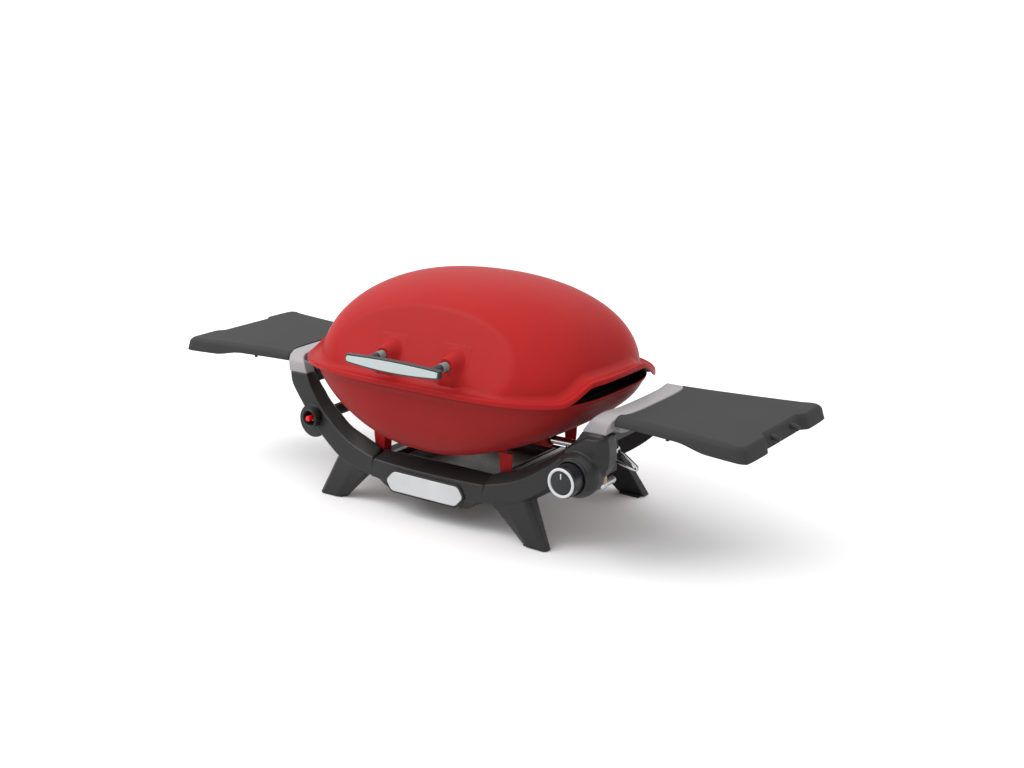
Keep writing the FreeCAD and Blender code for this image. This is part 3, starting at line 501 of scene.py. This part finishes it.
def make_bosses():
    """The two raised pads of the lid that the handle's posts sit on."""
    pads = []
    columns, rows, web_foot = 96, 84, 280.5
    for side in (LEFT, RIGHT):
        corners = []
        for row in range(rows):
            z = mix(web_foot, POST_Z + PAD_REACH, row / (rows - 1))
            for column in range(columns):
                x = mix(-PAD_REACH, PAD_REACH, column / (columns - 1))
                out = smooth_step(PAD_REACH - 10, PAD_REACH - 1, max(abs(x), z - POST_Z))
                sunk = 1.0 - 1.4 * (1 - out)
                corners.append(at(POST_X * side + x, facet_at(z) + sunk - pad_rise(x, z), z))
        pads.append(mesh_piece("pad", corners, ring_faces(rows, columns, False), red_enamel))
    bosses = join("lid_handle_pads", pads)
    bosses.data.shade_smooth()
    modify(bosses, "SOLIDIFY", thickness=1.2 * MM, offset=-1)
    return place(bosses, "lid", "red_enamel")


BOWL_HALF_X, BOWL_HALF_Y = 314.0, 212.0
RIM_Z, BOWL_DEPTH, RIM_FLARE, FLARE_SHARE = 269.5, 143.5, 4.0, 0.09


def bowl_point(angle, rise):
    """A point of the bowl at a share of its depth, with a flared rim."""
    flare = RIM_FLARE * (1 - smooth_step(0, FLARE_SHARE, rise))
    half_x = (BOWL_HALF_X + flare) * shrink(rise, 1.65)
    half_y = (BOWL_HALF_Y + flare) * shrink(rise, 4.4)
    reach = oval_radius(half_x, half_y, mix(3.3, 3.1, rise), angle)
    return at(reach * math.cos(angle), reach * math.sin(angle), RIM_Z - (BOWL_DEPTH + flare) * rise)


PORT_Y, PORT_Z, PORT_RADIUS = -60.0, 174.5, 10.5


def make_bowl():
    """The firebox's bowl with a rounded rim, its burner port and a dark liner; its enamel is a darker copy
    of the red enamel, painted shade under the lid.
    """
    count, depth_rows, last_turn = 256, 56, math.radians(89.0)
    rows = [[bowl_point(2 * math.pi * step / count, math.sin(last_turn * row / (depth_rows - 1)))
             for step in range(count)] for row in range(depth_rows)]
    bowl = domed("firebox_bowl", rows, at(0, 0, RIM_Z - BOWL_DEPTH), bowl_enamel_painted_shade)
    thicken(bowl, 3)
    bore = PORT_RADIUS + 1
    cutter = lathe("port_cutter", [(bore, 0), (bore, 90)], at(170, PORT_Y, PORT_Z), X_AXIS, liner)
    modify(bowl, "BOOLEAN", operation="DIFFERENCE", object=cutter, solver="EXACT")
    apply_modifiers(bowl)
    bpy.data.objects.remove(cutter)
    bowl.data.shade_smooth()
    collar = [(PORT_RADIUS, 0), (PORT_RADIUS, 40), (bore, 41.5), (14.5, 41.5), (16.5, 39), (17, 0)]
    port = lathe("burner_port", collar, at(168, PORT_Y, PORT_Z), X_AXIS, bowl_enamel_painted_shade)
    bowl = join("firebox_bowl", [bowl, port])
    return place(bowl, "frame", "red_enamel", "firebox")


# ---------------------------------------------------------------- frame

FRONT_ARM_DEPTH, BACK_ARM_DEPTH = 34.0, 22.0
ARC_RIDGE = [(132, 98.5), (177, 110), (215, 126), (246, 146), (273, 165.5), (306, 201), (323.3, FRAME_TOP)]
ARC_BACK = [(132, 113), (172, 126.6), (214, 141), (246, 161), (263, 172), (281, 186), (295, 200), (313, 214),
            (333, FRAME_TOP)]
ARC_OUTER = [(132, 64), (182, 73), (226, 88), (271, 117), (302, 142), (325, 165), (353, 193), (366, 210),
             (372, FRAME_TOP)]


def face_y(z):
    """The leaning front face of the frame."""
    return -163 - 0.21 * (101 - z)


def back_y(z):
    """The leaning outer face of the frame at the back."""
    return 142 + 0.275 * (FRAME_TOP - z)


def inner_depth(z):
    """How far back the arm's sloping inner face reaches."""
    return 23 + 10 * smooth_step(196, FRAME_TOP, z)


def picked(line, step, stations):
    """The point at a share of a line's length in points."""
    return line[round(step * (len(line) - 1) / (stations - 1))]


def front_section(outer, ridge, far_edge):
    """One cut through a front arm, from its outer, ridge and back points."""
    (out_x, out_z), (in_x, in_z), (far_x, far_z) = outer, ridge, far_edge
    return [(out_x - 5, face_y(out_z), out_z + 1), (in_x, face_y(in_z), in_z),
            (far_x, face_y(far_z) + inner_depth(far_z), far_z),
            (far_x + 6, face_y(far_z) + FRONT_ARM_DEPTH, far_z - 5),
            (out_x + 3, face_y(out_z) + FRONT_ARM_DEPTH, out_z - 3),
            (out_x + 2, face_y(out_z) + 12, out_z - 2)]


def back_section(outer, ridge):
    """One cut through a back arm."""
    (out_x, out_z), (in_x, in_z) = outer, ridge
    return [(out_x - 2, back_y(out_z), out_z + 1), (in_x, back_y(in_z), in_z),
            (in_x + 3, back_y(in_z) - BACK_ARM_DEPTH, in_z - 2),
            (out_x + 2, back_y(out_z) - BACK_ARM_DEPTH, out_z - 2)]


def arc_solid(name, side, end):
    """The curved arm of the frame, whose inner edge is higher away from the face."""
    lines = bend(ARC_OUTER, 8), bend(ARC_RIDGE, 11), bend(ARC_BACK, 8)
    stations = min(len(line) for line in lines)
    sections = []
    for step in range(stations):
        outer, ridge, far_edge = (picked(line, step, stations) for line in lines)
        section = front_section(outer, ridge, far_edge) if end == FRONT else back_section(outer, ridge)
        sections.append([at(side * x, y, z) for x, y, z in section])
    return loft(name, sections, frame_plastic)


LEG_TOP = [(150, -164, 66), (178, -166, 80), (216, -164, 93), (224, -154, 94), (224, -130, 94),
           (160, -130, 82), (147, -146, 64)]
LEG_FOOT = [(213, -156, 1), (229, -167, 1), (264, -168, 1), (272, -163, 1), (271, -150, 1),
            (214, -147, 1), (211, -151, 1)]


def leg_solid(name, side, end):
    """A splayed leg with a chamfered inner edge, lofted from the arm down to its foot."""
    rows, outer_before, outer_inset, inner_inset = 14, -155, 4, 24
    sections = []
    for row in range(rows):
        section = []
        for top, foot in zip(LEG_TOP, LEG_FOOT):
            x, y, z = mix(Vector(top), Vector(foot), row / (rows - 1))
            if end == BACK:
                y = back_y(z) - (outer_inset if y < outer_before else inner_inset)
            section.append(at(side * x, y, z))
        sections.append(section)
    return loft(name, sections, frame_plastic)


def make_legs():
    """The four legs with their arms, each one moulded skin."""
    for side, side_name in SIDE_NAMES.items():
        for end, end_name in ((FRONT, "front"), (BACK, "back")):
            name = "%s_%s" % (end_name, side_name)
            arm = arc_solid(name + "_arm", side, end)
            leg = leg_solid(name + "_foot", side, end)
            skin = join(name + "_frame_leg", [arm, leg])
            stood = [name + "_leg"]
            if (side, end) == (RIGHT, FRONT):
                skin = join(name + "_frame_leg", [skin] + housing_solids())
                stood.append("valve_housing")
            moulded(skin, 1.6, 6, 0.35)
            place(skin, "frame", "frame_plastic", *stood)


def make_front_rail():
    """The front rail between the seams, with its rounded belly."""
    seam, sag, stations = 131.4, 3.5, 13
    cut = [(0, 64), (0, 98), (38, 108), (38, 60)]
    sections = []
    for step in range(stations):
        x = mix(-seam, seam, step / (stations - 1))
        dip = sag * (1 - (x / seam) ** 2)
        sections.append([at(x, face_y(z) + y, z - dip) for y, z in cut])
    bar = loft("rail_bar", sections, frame_plastic)
    belly_line = bend([(-117, 62), (-96, 44), (-60, 38), (0, 35), (60, 38), (96, 44), (117, 62)], 6)
    low_edge = face_y(64)
    near = [at(x, low_edge + 2 + 0.35 * (66 - z), z) for x, z in belly_line]
    far = [at(x, low_edge + 34, z) for x, z in belly_line]
    belly = loft("rail_belly", [near, far], frame_plastic)
    rail = join("front_frame_rail", [bar, belly])
    moulded(rail, 1.6, 6, 0.35)
    return place(rail, "frame", "frame_plastic", "front_rail")


def plaque(name, half, flat, low, high, rise, thick, material):
    """A flat six-sided plate with rounded corners on the leaning face of the rail."""
    middle, corner = (low + high) / 2, 7
    line = rounded([(-half, middle), (-flat, high), (flat, high), (half, middle), (flat, low), (-flat, low)],
                   corner)
    lean = (face_y(high) - face_y(low)) / (high - low)
    near, far = ([at(x, face_y(low) + lean * (z - low) - rise + depth, z) for x, z in line]
                 for depth in (0, thick))
    return loft(name, [near, far], material)


def make_badge():
    """A blank brushed plate with pointed rounded ends in its dark seat."""
    plate = plaque("badge", half=91, flat=76, low=49.5, high=85, rise=4.6, thick=3, material=brushed)
    place(crisp(plate, 0.8), "frame", "badge_metal", "badge_plate")
    seat = plaque("badge_frame", half=94.5, flat=79, low=46, high=88.5, rise=3.4, thick=6,
                  material=frame_plastic)
    place(crisp(seat, 1.2), "frame", "frame_plastic", "badge_seat")


# ---------------------------------------------------------------- end caps and tables

CAP_FRONT, CAP_BACK = 136.0, 142.0
# y, height, inner x and outer x of the saddle, from the front seam to the middle
CAP_SADDLE = [(-136, 229, 323.3, 371), (-134.5, 236, 327.5, 373), (-132.5, 243, 331.5, 375),
              (-129.5, 250, 335.5, 377.5), (-124, 256.5, 340.5, 380.5), (-116.5, 260.9, 345, 384.5),
              (-107, 263.1, 348, 389), (-96, CAP_TOP, 350.5, 392.5), (-70, CAP_TOP, 355, 395),
              (-35, CAP_TOP, 356.5, 396.5), (0, CAP_TOP, 357, 396.5)]


def cap_section(side, y, z, inner, outer):
    """One cut through an end cap: a rounded top with two skirts, drawn together over the arm's seam."""
    full = smooth_step(0, 30, CAP_FRONT - abs(y))
    skirt, lean, push = 33.0 * full, 9 * full, 26 * (1 - full)
    back_in = y - math.copysign(push, y) if y else y
    return [at(side * x, depth, height) for x, depth, height in (
        (inner + lean + 1, back_in, z - skirt - 0.2), (inner + 2.2 * full, y, z - 5 * full),
        (inner + 1.2, y, z - 0.8 * full), (inner + 3.5, y, z), (outer - 4.5, y, z),
        (outer - 1.2, y, z - full), (outer, y, z - 4 * full), (outer - 1, back_in, z - skirt))]


def make_cap(side):
    """A light end cap: a saddle over the tops of the front and back arms, hollow below."""
    name = SIDE_NAMES[side]
    front = [Vector(point) for point in bend(CAP_SADDLE, 4)]
    back = [Vector((-point[0] * CAP_BACK / CAP_FRONT, *point[1:])) for point in reversed(front[:-1])]
    cap = loft("%s_cap" % name, [cap_section(side, *point) for point in front + back], cap_plastic)
    moulded(cap, 1.3, 5, 0.4)
    return place(cap, "frame", "cap_plastic", "%s_end_cap" % name)


TABLE_IN, TABLE_MIDDLE = 398.2, 1.6
# each ring of the table: how far it is drawn in along y and x, how far it flares out at the outer edge,
# how far down the skirt it lies, and its height over that
TABLE_RINGS = [(12, 5, 0, 0, 0), (9, 3.4, 0, 0, -0.5), (5.6, 2, 0.4, 0, -1.9), (2.8, 0.9, 1.2, 0, -4.3),
               (1.0, 0.2, 2.6, 0, -7.6), (0.2, 0, 4.6, 0.62, 0), (0, 0, 7.4, 1, 1.0), (1.0, 0.8, 7.6, 1, 0),
               (3.6, 3.2, 7.4, 1, 0), (4.4, 4, 6, 1, 1.2), (6.5, 5, 1, 0, -7), (12, 7, 0, 0, -4.5)]


def table_line(round_y, round_x, flare):
    """The table's plan, from the middle of its inner edge round the front and back again."""
    inner = [(TABLE_IN, 0), (TABLE_IN, -60), (394.5, -90), (388.5, -107), (383.5, -117.5)]
    front = bend([(382.5, -124), (440, -129), (520, -139.5), (600, -152), (626, -156)], 6)
    edge = bend([(626, -156), (636, -153.5), (640.5, -145), (642, -105), (641.5, -82), (637, -73),
                 (631.5, -64), (631.5, -40), (631.5, 0)], 6)
    half = inner + front + edge[1:]
    plan = [(x, y) for x, y in half] + [(x, -y) for x, y in reversed(half[1:-1])]
    line = []
    for x, y in plan:
        outward = smooth_step(600, 634, x)
        inward = 1 - smooth_step(TABLE_IN, TABLE_IN + 20, x)
        sideways = smooth_step(100, 124, abs(y)) if x < 410 else smooth_step(60, 110, abs(y))
        shift_y = (0.3 * flare - round_y * mix(1, 0.6, outward)) * sideways
        line.append((x + (flare - round_x) * outward + 0.4 * inward * round_x,
                     y + (shift_y if y > 0 else -shift_y)))
    return line


def skirt_bottom(x):
    """How low the table's skirt hangs at a distance from the middle."""
    return mix(245.5, 236.5, smooth_step(508, 570, x))


def make_table(side):
    """A folding side table: a flat top with a rounded edge and a skirt that is deeper at the outer end."""
    name = SIDE_NAMES[side]
    top = CAP_TOP - 0.2
    rings = [[at(side * x, y + TABLE_MIDDLE, mix(top, skirt_bottom(x), share) + lift)
              for x, y in table_line(round_y, round_x, flare)]
             for round_y, round_x, flare, share, lift in TABLE_RINGS]
    table = loft("%s_side_table" % name, rings, table_plastic)
    modify(table, "WEIGHTED_NORMAL", keep_sharp=False)
    return place(table, "%s_table" % name, "table_plastic", "%s_table" % name)


def make_hooks(side):
    """Two small tool hooks in the notch of a table's outer edge."""
    name = SIDE_NAMES[side]
    hook_line, radius = ((626, 254), (638, 252), (646, 250), (650, 248)), 5.0
    hooks = [wire("hook", [at(side * x, y, z) for x, z in hook_line], radius, table_plastic)
             for y in (-37, 38)]
    pair = join("%s_table_hooks" % name, hooks)
    return place(pair, "%s_table" % name, "table_plastic")


# ---------------------------------------------------------------- handle

HANDLE_HALF, HANDLE_TOP, HANDLE_END, HANDLE_MIDDLE = 107.5, 334.0, 315.0, 309.3
HANDLE_FRONT, HANDLE_BACK, SPACER_FRONT = -260.5, -250.5, -211.2


def smile(margin, soft):
    """The outline of the handle's bar: nearly straight on top and bowed below, with rounded ends."""
    half, top = HANDLE_HALF - margin, HANDLE_TOP - margin
    end, middle = HANDLE_END + margin, HANDLE_MIDDLE + margin
    shoulder, corner = top - 2.9, top - 3.2 - soft
    below = [(x, mix(middle, end, (x / half) ** 2)) for x in (80, 50, 20, -20, -50, -80)]
    above = [(-half + soft, shoulder), (-50, top - 0.8), (0, top), (50, top - 0.8), (half - soft, shoulder)]
    right = [(half, corner), (half, end + soft), (half - soft, end - 0.3)]
    left = [(soft - half, end - 0.3), (-half, end + soft), (-half, corner), (-half + soft, shoulder)]
    return bend(above + right + below + left, 5)[:-1]


def make_handle():
    """The handle's bar with its light insert, the posts and the spacers."""
    bar = slab("handle_frame", smile(0, 3.5), HANDLE_FRONT, HANDLE_BACK, handle_dark)
    place(soften(bar, 2.2, 4), "lid", "handle_plastic", "handle_bar")
    insert = slab("handle_face", smile(3.0, 3.0), HANDLE_FRONT - 1.5, HANDLE_FRONT + 1.5, handle_light)
    place(soften(insert, 0.9, 3), "lid", "handle_light", "handle_insert")
    posts, spacers = [], []
    for side in (LEFT, RIGHT):
        post = [(0, 0), (9.0, 0), (8.6, 2.5), (7.9, 5), (7.6, 12), (7.6, 41), (0, 41)]
        posts.append(lathe("post", post, at(POST_X * side, HANDLE_BACK - 0.5, POST_Z), Y_AXIS, handle_dark))
        spacer = [(0, 0), (8.0, 0), (8.7, 0.7), (8.9, 15.4), (8.3, 16.2), (0, 16.2)]
        spacers.append(lathe("spacer", spacer, at(POST_X * side, SPACER_FRONT, POST_Z), Y_AXIS, spacer_grey))
    place(soften(join("handle_stems", posts), 0.5, 2), "lid", "handle_plastic", "handle_posts")
    place(soften(join("handle_collars", spacers), 0.4, 2), "lid", "grey_plastic", "handle_spacers")


# ---------------------------------------------------------------- gas control and igniter

KNOB_X, KNOB_Z = 325.0, 154.0
KNOB_FRONT, BEZEL_FRONT, HOUSING_FACE = -205.0, -174.0, -170.0


def make_knob():
    """The knob with its bright ring, a plain face with a pointer line, and the bezel behind it."""
    front = at(KNOB_X, KNOB_FRONT, KNOB_Z)
    grip = [(0, 3.2), (21.5, 3.2), (22.2, 2.0), (26.6, 2.0), (27.8, 2.8), (28.3, 4.2), (28.5, 30),
            (27.6, 32.4), (25.5, 33.5), (0, 33.5)]
    knob = lathe("knob_grip", grip, front, Y_AXIS, knob_black, 96)
    place(soften(knob, 0.3, 2), "knob", "knob_plastic", "knob")
    ring = [(21.6, 3.4), (21.8, 1.0), (22.6, 0.2), (25.2, 0.2), (26.4, 0.9), (26.8, 2.2), (26.8, 3.4)]
    place(lathe("knob_bright_ring", ring, front, Y_AXIS, knob_white, 96), "knob", "chrome", "knob_ring")
    face = [(0, 1.6), (19.5, 1.6), (20.8, 1.9), (21.3, 3.0), (21.3, 3.4), (0, 3.4)]
    place(lathe("knob_disc", face, front, Y_AXIS, knob_black, 96), "knob", "knob_plastic", "knob_face")
    line = [(KNOB_X + x, KNOB_Z + z) for x, z in ((-1.1, 7), (1.1, 7), (1.1, 17), (-1.1, 17))]
    pointer = slab("knob_pointer", line, KNOB_FRONT + 0.8, KNOB_FRONT + 2.5, knob_white)
    place(soften(pointer, 0.35, 2), "knob", "chrome")
    bezel = [(29.3, 0.4), (30.2, -0.4), (33.0, 0), (34.2, 1.6), (34.4, 10), (29.3, 10)]
    collar = lathe("knob_collar", bezel, at(KNOB_X, BEZEL_FRONT, KNOB_Z), Y_AXIS, knob_black, 96)
    close_lathe_bore(collar)
    place(collar, "frame", "knob_plastic", "knob_bezel")


def close_lathe_bore(piece):
    """Drop flat faces that would close a ring's bore and join its two open rims instead."""
    shape = bmesh.new()
    shape.from_mesh(piece.data)
    caps = [face for face in shape.faces if len(face.verts) > 8]
    bmesh.ops.delete(shape, geom=caps, context="FACES_ONLY")
    rims = [edge for edge in shape.edges if edge.is_boundary]
    bmesh.ops.bridge_loops(shape, edges=rims)
    bmesh.ops.recalc_face_normals(shape, faces=shape.faces)
    shape.to_mesh(piece.data)
    shape.free()
    piece.data.shade_smooth()


HOUSING_FRONT = [(340, 222), (366, 224), (361, 202), (354, 187), (358, 172), (352, 150), (340, 128),
                 (316, 112), (292, 128), (286, 160), (300, 196)]
HOUSING_SIDE = [(340, 226), (372, 226), (376, 207), (377, 188), (374, 169), (364, 150), (346, 131),
                (320, 110), (292, 122), (284, 160), (300, 200)]


def housing_solids():
    """The valve housing behind the knob: a cone round the bezel and the bulging side of the arm."""
    cone = [(0, 9), (28.8, 9), (29.2, 0), (33.4, 0), (35.5, 1.2), (40.5, 13), (42, 22), (40, 46), (30, 60),
            (0, 62)]
    barrel = lathe("housing_cone", cone, at(KNOB_X, HOUSING_FACE, KNOB_Z), Y_AXIS, frame_plastic)
    front_y, side_y, rear_y, drawn_in = -151, -130, -99, 0.08
    waist_x, waist_z = 335, 165
    front = [at(x, front_y, z) for x, z in HOUSING_FRONT]
    side = [at(x, side_y, z) for x, z in HOUSING_SIDE]
    back = [at(mix(x, waist_x, drawn_in), rear_y, mix(z, waist_z, drawn_in)) for x, z in HOUSING_SIDE]
    return [barrel, loft("housing_flare", [front, side], frame_plastic),
            loft("housing_side", [side, back], frame_plastic)]


def make_igniter():
    """The igniter on the left arm: round back plate, recessed cup and red button."""
    button_x, button_z = -290, 152
    plate = [(0, 0), (31, 0), (33.4, 1.2), (34, 3.4), (34, 20), (0, 20)]
    disc = lathe("igniter_plate", plate, at(-301, -150, 140), Y_AXIS, frame_plastic)
    place(soften(disc, 0.5, 2), "frame", "frame_plastic", "igniter_disc")
    cup = [(14.4, 20), (14.4, 3), (15.2, 0.8), (16.6, 0), (18.0, 0.8), (18.6, 3), (19.0, 20)]
    well = lathe("igniter_well", cup, at(button_x, -171, button_z), Y_AXIS, frame_plastic)
    close_lathe_bore(well)
    place(well, "frame", "frame_plastic", "igniter_cup")
    button = [(0, 0), (3.6, 0.1), (4.9, 0.7), (5.5, 2.0), (5.5, 24), (5.0, 25), (3.0, 25), (3.0, 72),
              (0, 72)]
    push = lathe("igniter_push", button, at(button_x, -175, button_z), Y_AXIS, button_red, 48)
    place(push, "igniter_button", "button_red", "igniter_button")


def make_gas_parts():
    """The polished burner tube, the wire loop and the ribbed gas inlet."""
    tube_radius, tube_length, gap = 7.6, 146, 0.1
    tube = [(0, 0), (tube_radius, 0), (tube_radius, tube_length), (0, tube_length)]
    feed = lathe("feed_tube", tube, at(158.5, PORT_Y, PORT_Z), X_AXIS, chrome)
    place(soften(feed, 0.5, 2), "frame", "chrome", "burner_tube")
    bore = tube_radius + gap
    sleeve = [(bore, 0), (9.9, 0), (10.4, 1), (10.4, 13), (9.9, 14), (bore, 14)]
    collar = lathe("feed_collar", sleeve, at(268, PORT_Y, PORT_Z), X_AXIS, steel)
    close_lathe_bore(collar)
    place(collar, "frame", "steel")
    hoop = [(343.5, -60, 182), (356, -58.5, 178), (378, -55, 162), (390, -52.5, 151), (385, -54, 146.5),
            (365, -57.5, 153), (343.5, -60, 160)]
    loop = wire("hose_loop", [at(*spot) for spot in hoop], 2.9, chrome)
    stud = [(0, 0), (6, 0), (7.2, 1), (7.2, 7), (5.4, 10), (0, 10)]
    boss = lathe("loop_boss", stud, at(343.2, -60, 181), X_AXIS, chrome)
    place(join("hose_loop", [loop, boss]), "frame", "chrome", "wire_loop")
    pitch, groove, crest = 3.4, 6.1, 7.0
    ribs = [(0, 0), (8.6, 0), (9, 0.6), (9, 9.4), (8.6, 10), (6.4, 10.6)]
    for rib in range(9):
        start = 12 + pitch * rib
        ribs += [(groove, start), (crest, start + 0.8), (crest, start + 2.0), (groove, start + 2.8)]
    ribs += [(6.0, 44), (0, 44)]
    inlet = lathe("ribbed_inlet", ribs, at(329, -80, 114), Y_AXIS, chrome)
    place(inlet, "frame", "chrome", "gas_inlet")


# ---------------------------------------------------------------- supports, pads and foil tray

def make_supports():
    """The four tapered sheet brackets that hold the bowl over the frame."""
    low, high, sheet, flank_depth = 96, 152, 3, 22
    web = [(-10.5, low), (10.5, low), (15, high), (-15, high)]
    flank = [(-10.5, low), (-7.5, low), (-12, high), (-15, high)]
    brackets = []
    for side in (LEFT, RIGHT):
        for middle_x, y in ((150.5, -121), (143, 108)):
            for name, outline, near, far in (("bracket", web, 0, sheet), ("flank", flank, 2.5, flank_depth)):
                line = [(side * (middle_x + x), z) for x, z in outline]
                brackets.append(slab(name, line, y + near, y + far, red_enamel))
    held = join("bowl_brackets", brackets)
    place(crisp(held, 0.5), "frame", "red_enamel", "firebox_supports")


def make_pads():
    """Rubber feet inside the legs' soles and the lid's four rest buttons."""
    soles, buttons = [], []
    rest_button = [(0, 0), (3.6, 0), (4.4, 1), (4.4, 5.4), (0, 5.4)]
    for side in (LEFT, RIGHT):
        for end in (FRONT, BACK):
            middle = -158 if end == FRONT else 176
            spots = [(218, middle - 4), (264, middle - 6), (264, middle + 5), (218, middle + 5)]
            soles.append(loft("sole", [[at(side * x, y, z) for x, y in spots] for z in (0.1, 4)], rubber))
            spot = at(224 * side, 185.5 * end, RIM_Z + 0.4)
            buttons.append(lathe("button", rest_button, spot, Z_AXIS, rubber))
    place(crisp(join("rubber_soles", soles), 0.5), "frame", "rubber", "foot_pads")
    place(join("lid_rest_buttons", buttons), "lid", "rubber", "lid_bumpers")


def make_tray():
    """The pressed foil tray: ribbed walls, a rolled rim and a flat floor."""
    half, front, back, low, high = 108.5, -89.0, 112.0, 74.0, 90.5
    ribs, rib_depth, half_depth = 34, 0.9, 100
    middle = (front + back) / 2
    # how far each ring is drawn in, and its height
    levels = [(0.0, high), (-3.0, high + 0.5), (-5.5, high - 1), (-6.5, high - 5), (-14, low + 3),
              (-17, low)]
    around = [(-half, front), (half, front), (half, back), (-half, back)]
    rows = []
    for inset, z in levels:
        ring = []
        for index, (start_x, start_y) in enumerate(around):
            end_x, end_y = around[(index + 1) % len(around)]
            for step in range(ribs * 2):
                share = step / (ribs * 2)
                x, y = mix(start_x, end_x, share), mix(start_y, end_y, share)
                drawn = inset - (rib_depth if step % 2 and low < z < high - 0.6 else 0.0)
                ring.append(at(x * (1 + drawn / half), (y - middle) * (1 + drawn / half_depth) + middle, z))
        rows.append(ring)
    count = len(rows[0])
    corners = [corner for row in rows for corner in row]
    faces = ring_faces(len(rows), count)
    faces.append(tuple(range(len(corners) - 1, len(corners) - count - 1, -1)))
    tray = mesh_piece("foil_tray", corners, faces, foil)
    modify(tray, "SOLIDIFY", thickness=0.5 * MM, offset=0)
    return place(tray, "catch_pan", "foil", "drip_tray")


def finish_cad_nodes():
    """Give every CAD node that stays a proper material."""
    finishes = {
        "handle_screws": steel, "lid_lugs": red_enamel, "lid_hinge_pin": steel,
        "left_grate": cast_iron, "right_grate": cast_iron,
        "burner_loop": steel, "spark_electrode": steel, "back_rail": frame_plastic,
        "left_side_rail": frame_plastic, "right_side_rail": frame_plastic, "rail_plates": steel,
        "left_end_beam": frame_plastic, "right_end_beam": frame_plastic,
        "table_pins": steel, "left_table_pegs": table_plastic, "right_table_pegs": table_plastic,
        "catch_pan": pan_enamel, "left_pan_rail": steel, "right_pan_rail": steel, "valve_stem": steel,
        "stem_washer": steel, "knob_spring": steel, "valve_body": frame_plastic, "inlet_neck": brass,
        "button_spring": steel, "igniter_module": frame_plastic,
    }
    for name, material in finishes.items():
        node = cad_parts[name]
        node.data.materials.clear()
        node.data.materials.append(material)


# ---------------------------------------------------------------- stage

FLOOR_REACH = 220
SKY_EDGE, SKY_TOP = 0.75, 2.0
KEY_PLACE, KEY_AIM, KEY_SIZE, KEY_POWER = (-1.7, -1.5, 2.3), (0, 0, 0.25), 1.8, 62


def make_floor():
    """A pale floor that reaches past the horizon."""
    corners = [(FLOOR_REACH * x, FLOOR_REACH * y, 0) for x, y in ((-1, -1), (1, -1), (1, 1), (-1, 1))]
    white = surface("floor_white", (0.70, 0.70, 0.70), 0.9, grain=40, depth=0.0, spread=0.003)
    mesh_piece("floor", corners, [(0, 1, 2, 3)], white)


def make_sky():
    """A soft sky like a studio tent, brighter overhead than at its edge."""
    world = bpy.data.worlds.new("studio")
    bpy.context.scene.world = world
    world.use_nodes = True
    tree = world.node_tree
    background = tree.nodes["Background"]
    spot = tree.nodes.new("ShaderNodeTexCoord")
    split = tree.nodes.new("ShaderNodeSeparateXYZ")
    rise = tree.nodes.new("ShaderNodeMapRange")
    rise.interpolation_type = "SMOOTHSTEP"
    rise.inputs["From Min"].default_value = 0.05
    rise.inputs["From Max"].default_value = 0.95
    rise.inputs["To Min"].default_value = SKY_EDGE
    rise.inputs["To Max"].default_value = SKY_TOP
    tree.links.new(spot.outputs["Generated"], split.inputs["Vector"])
    tree.links.new(split.outputs["Z"], rise.inputs["Value"])
    tree.links.new(rise.outputs["Result"], background.inputs["Strength"])
    background.inputs["Color"].default_value = (1, 1, 1, 1)


def make_key():
    """One gentle key light from the front left."""
    light = bpy.data.lights.new("key", "AREA")
    light.size = KEY_SIZE
    light.energy = KEY_POWER
    lamp = bpy.data.objects.new("key", light)
    lamp.location = KEY_PLACE
    lamp.rotation_euler = (Vector(KEY_AIM) - lamp.location).to_track_quat("-Z", "Y").to_euler()
    bpy.context.scene.collection.objects.link(lamp)


CAMERA_PLACE = (1579.8, -2126.2, 981.3)
CAMERA_DOWN, CAMERA_ROUND = 15.830, 35.208


def make_camera():
    """The camera, from the front right and a little above."""
    camera = bpy.data.cameras.new("camera")
    camera.lens = 50
    camera.sensor_width = 36
    camera.clip_end = 200
    holder = bpy.data.objects.new("camera", camera)
    holder.location = at(*CAMERA_PLACE)
    holder.rotation_euler = (math.radians(90 - CAMERA_DOWN), 0, math.radians(CAMERA_ROUND))
    bpy.context.scene.collection.objects.link(holder)
    bpy.context.scene.camera = holder
    bpy.context.scene.view_settings.view_transform = "Standard"


make_lid()
make_bosses()
make_bowl()
make_legs()
make_front_rail()
make_badge()
for side in (LEFT, RIGHT):
    make_cap(side)
    make_table(side)
    make_hooks(side)
make_handle()
make_knob()
make_igniter()
make_gas_parts()
make_tray()
make_supports()
make_pads()
finish_cad_nodes()
make_floor()
make_sky()
make_key()
make_camera()
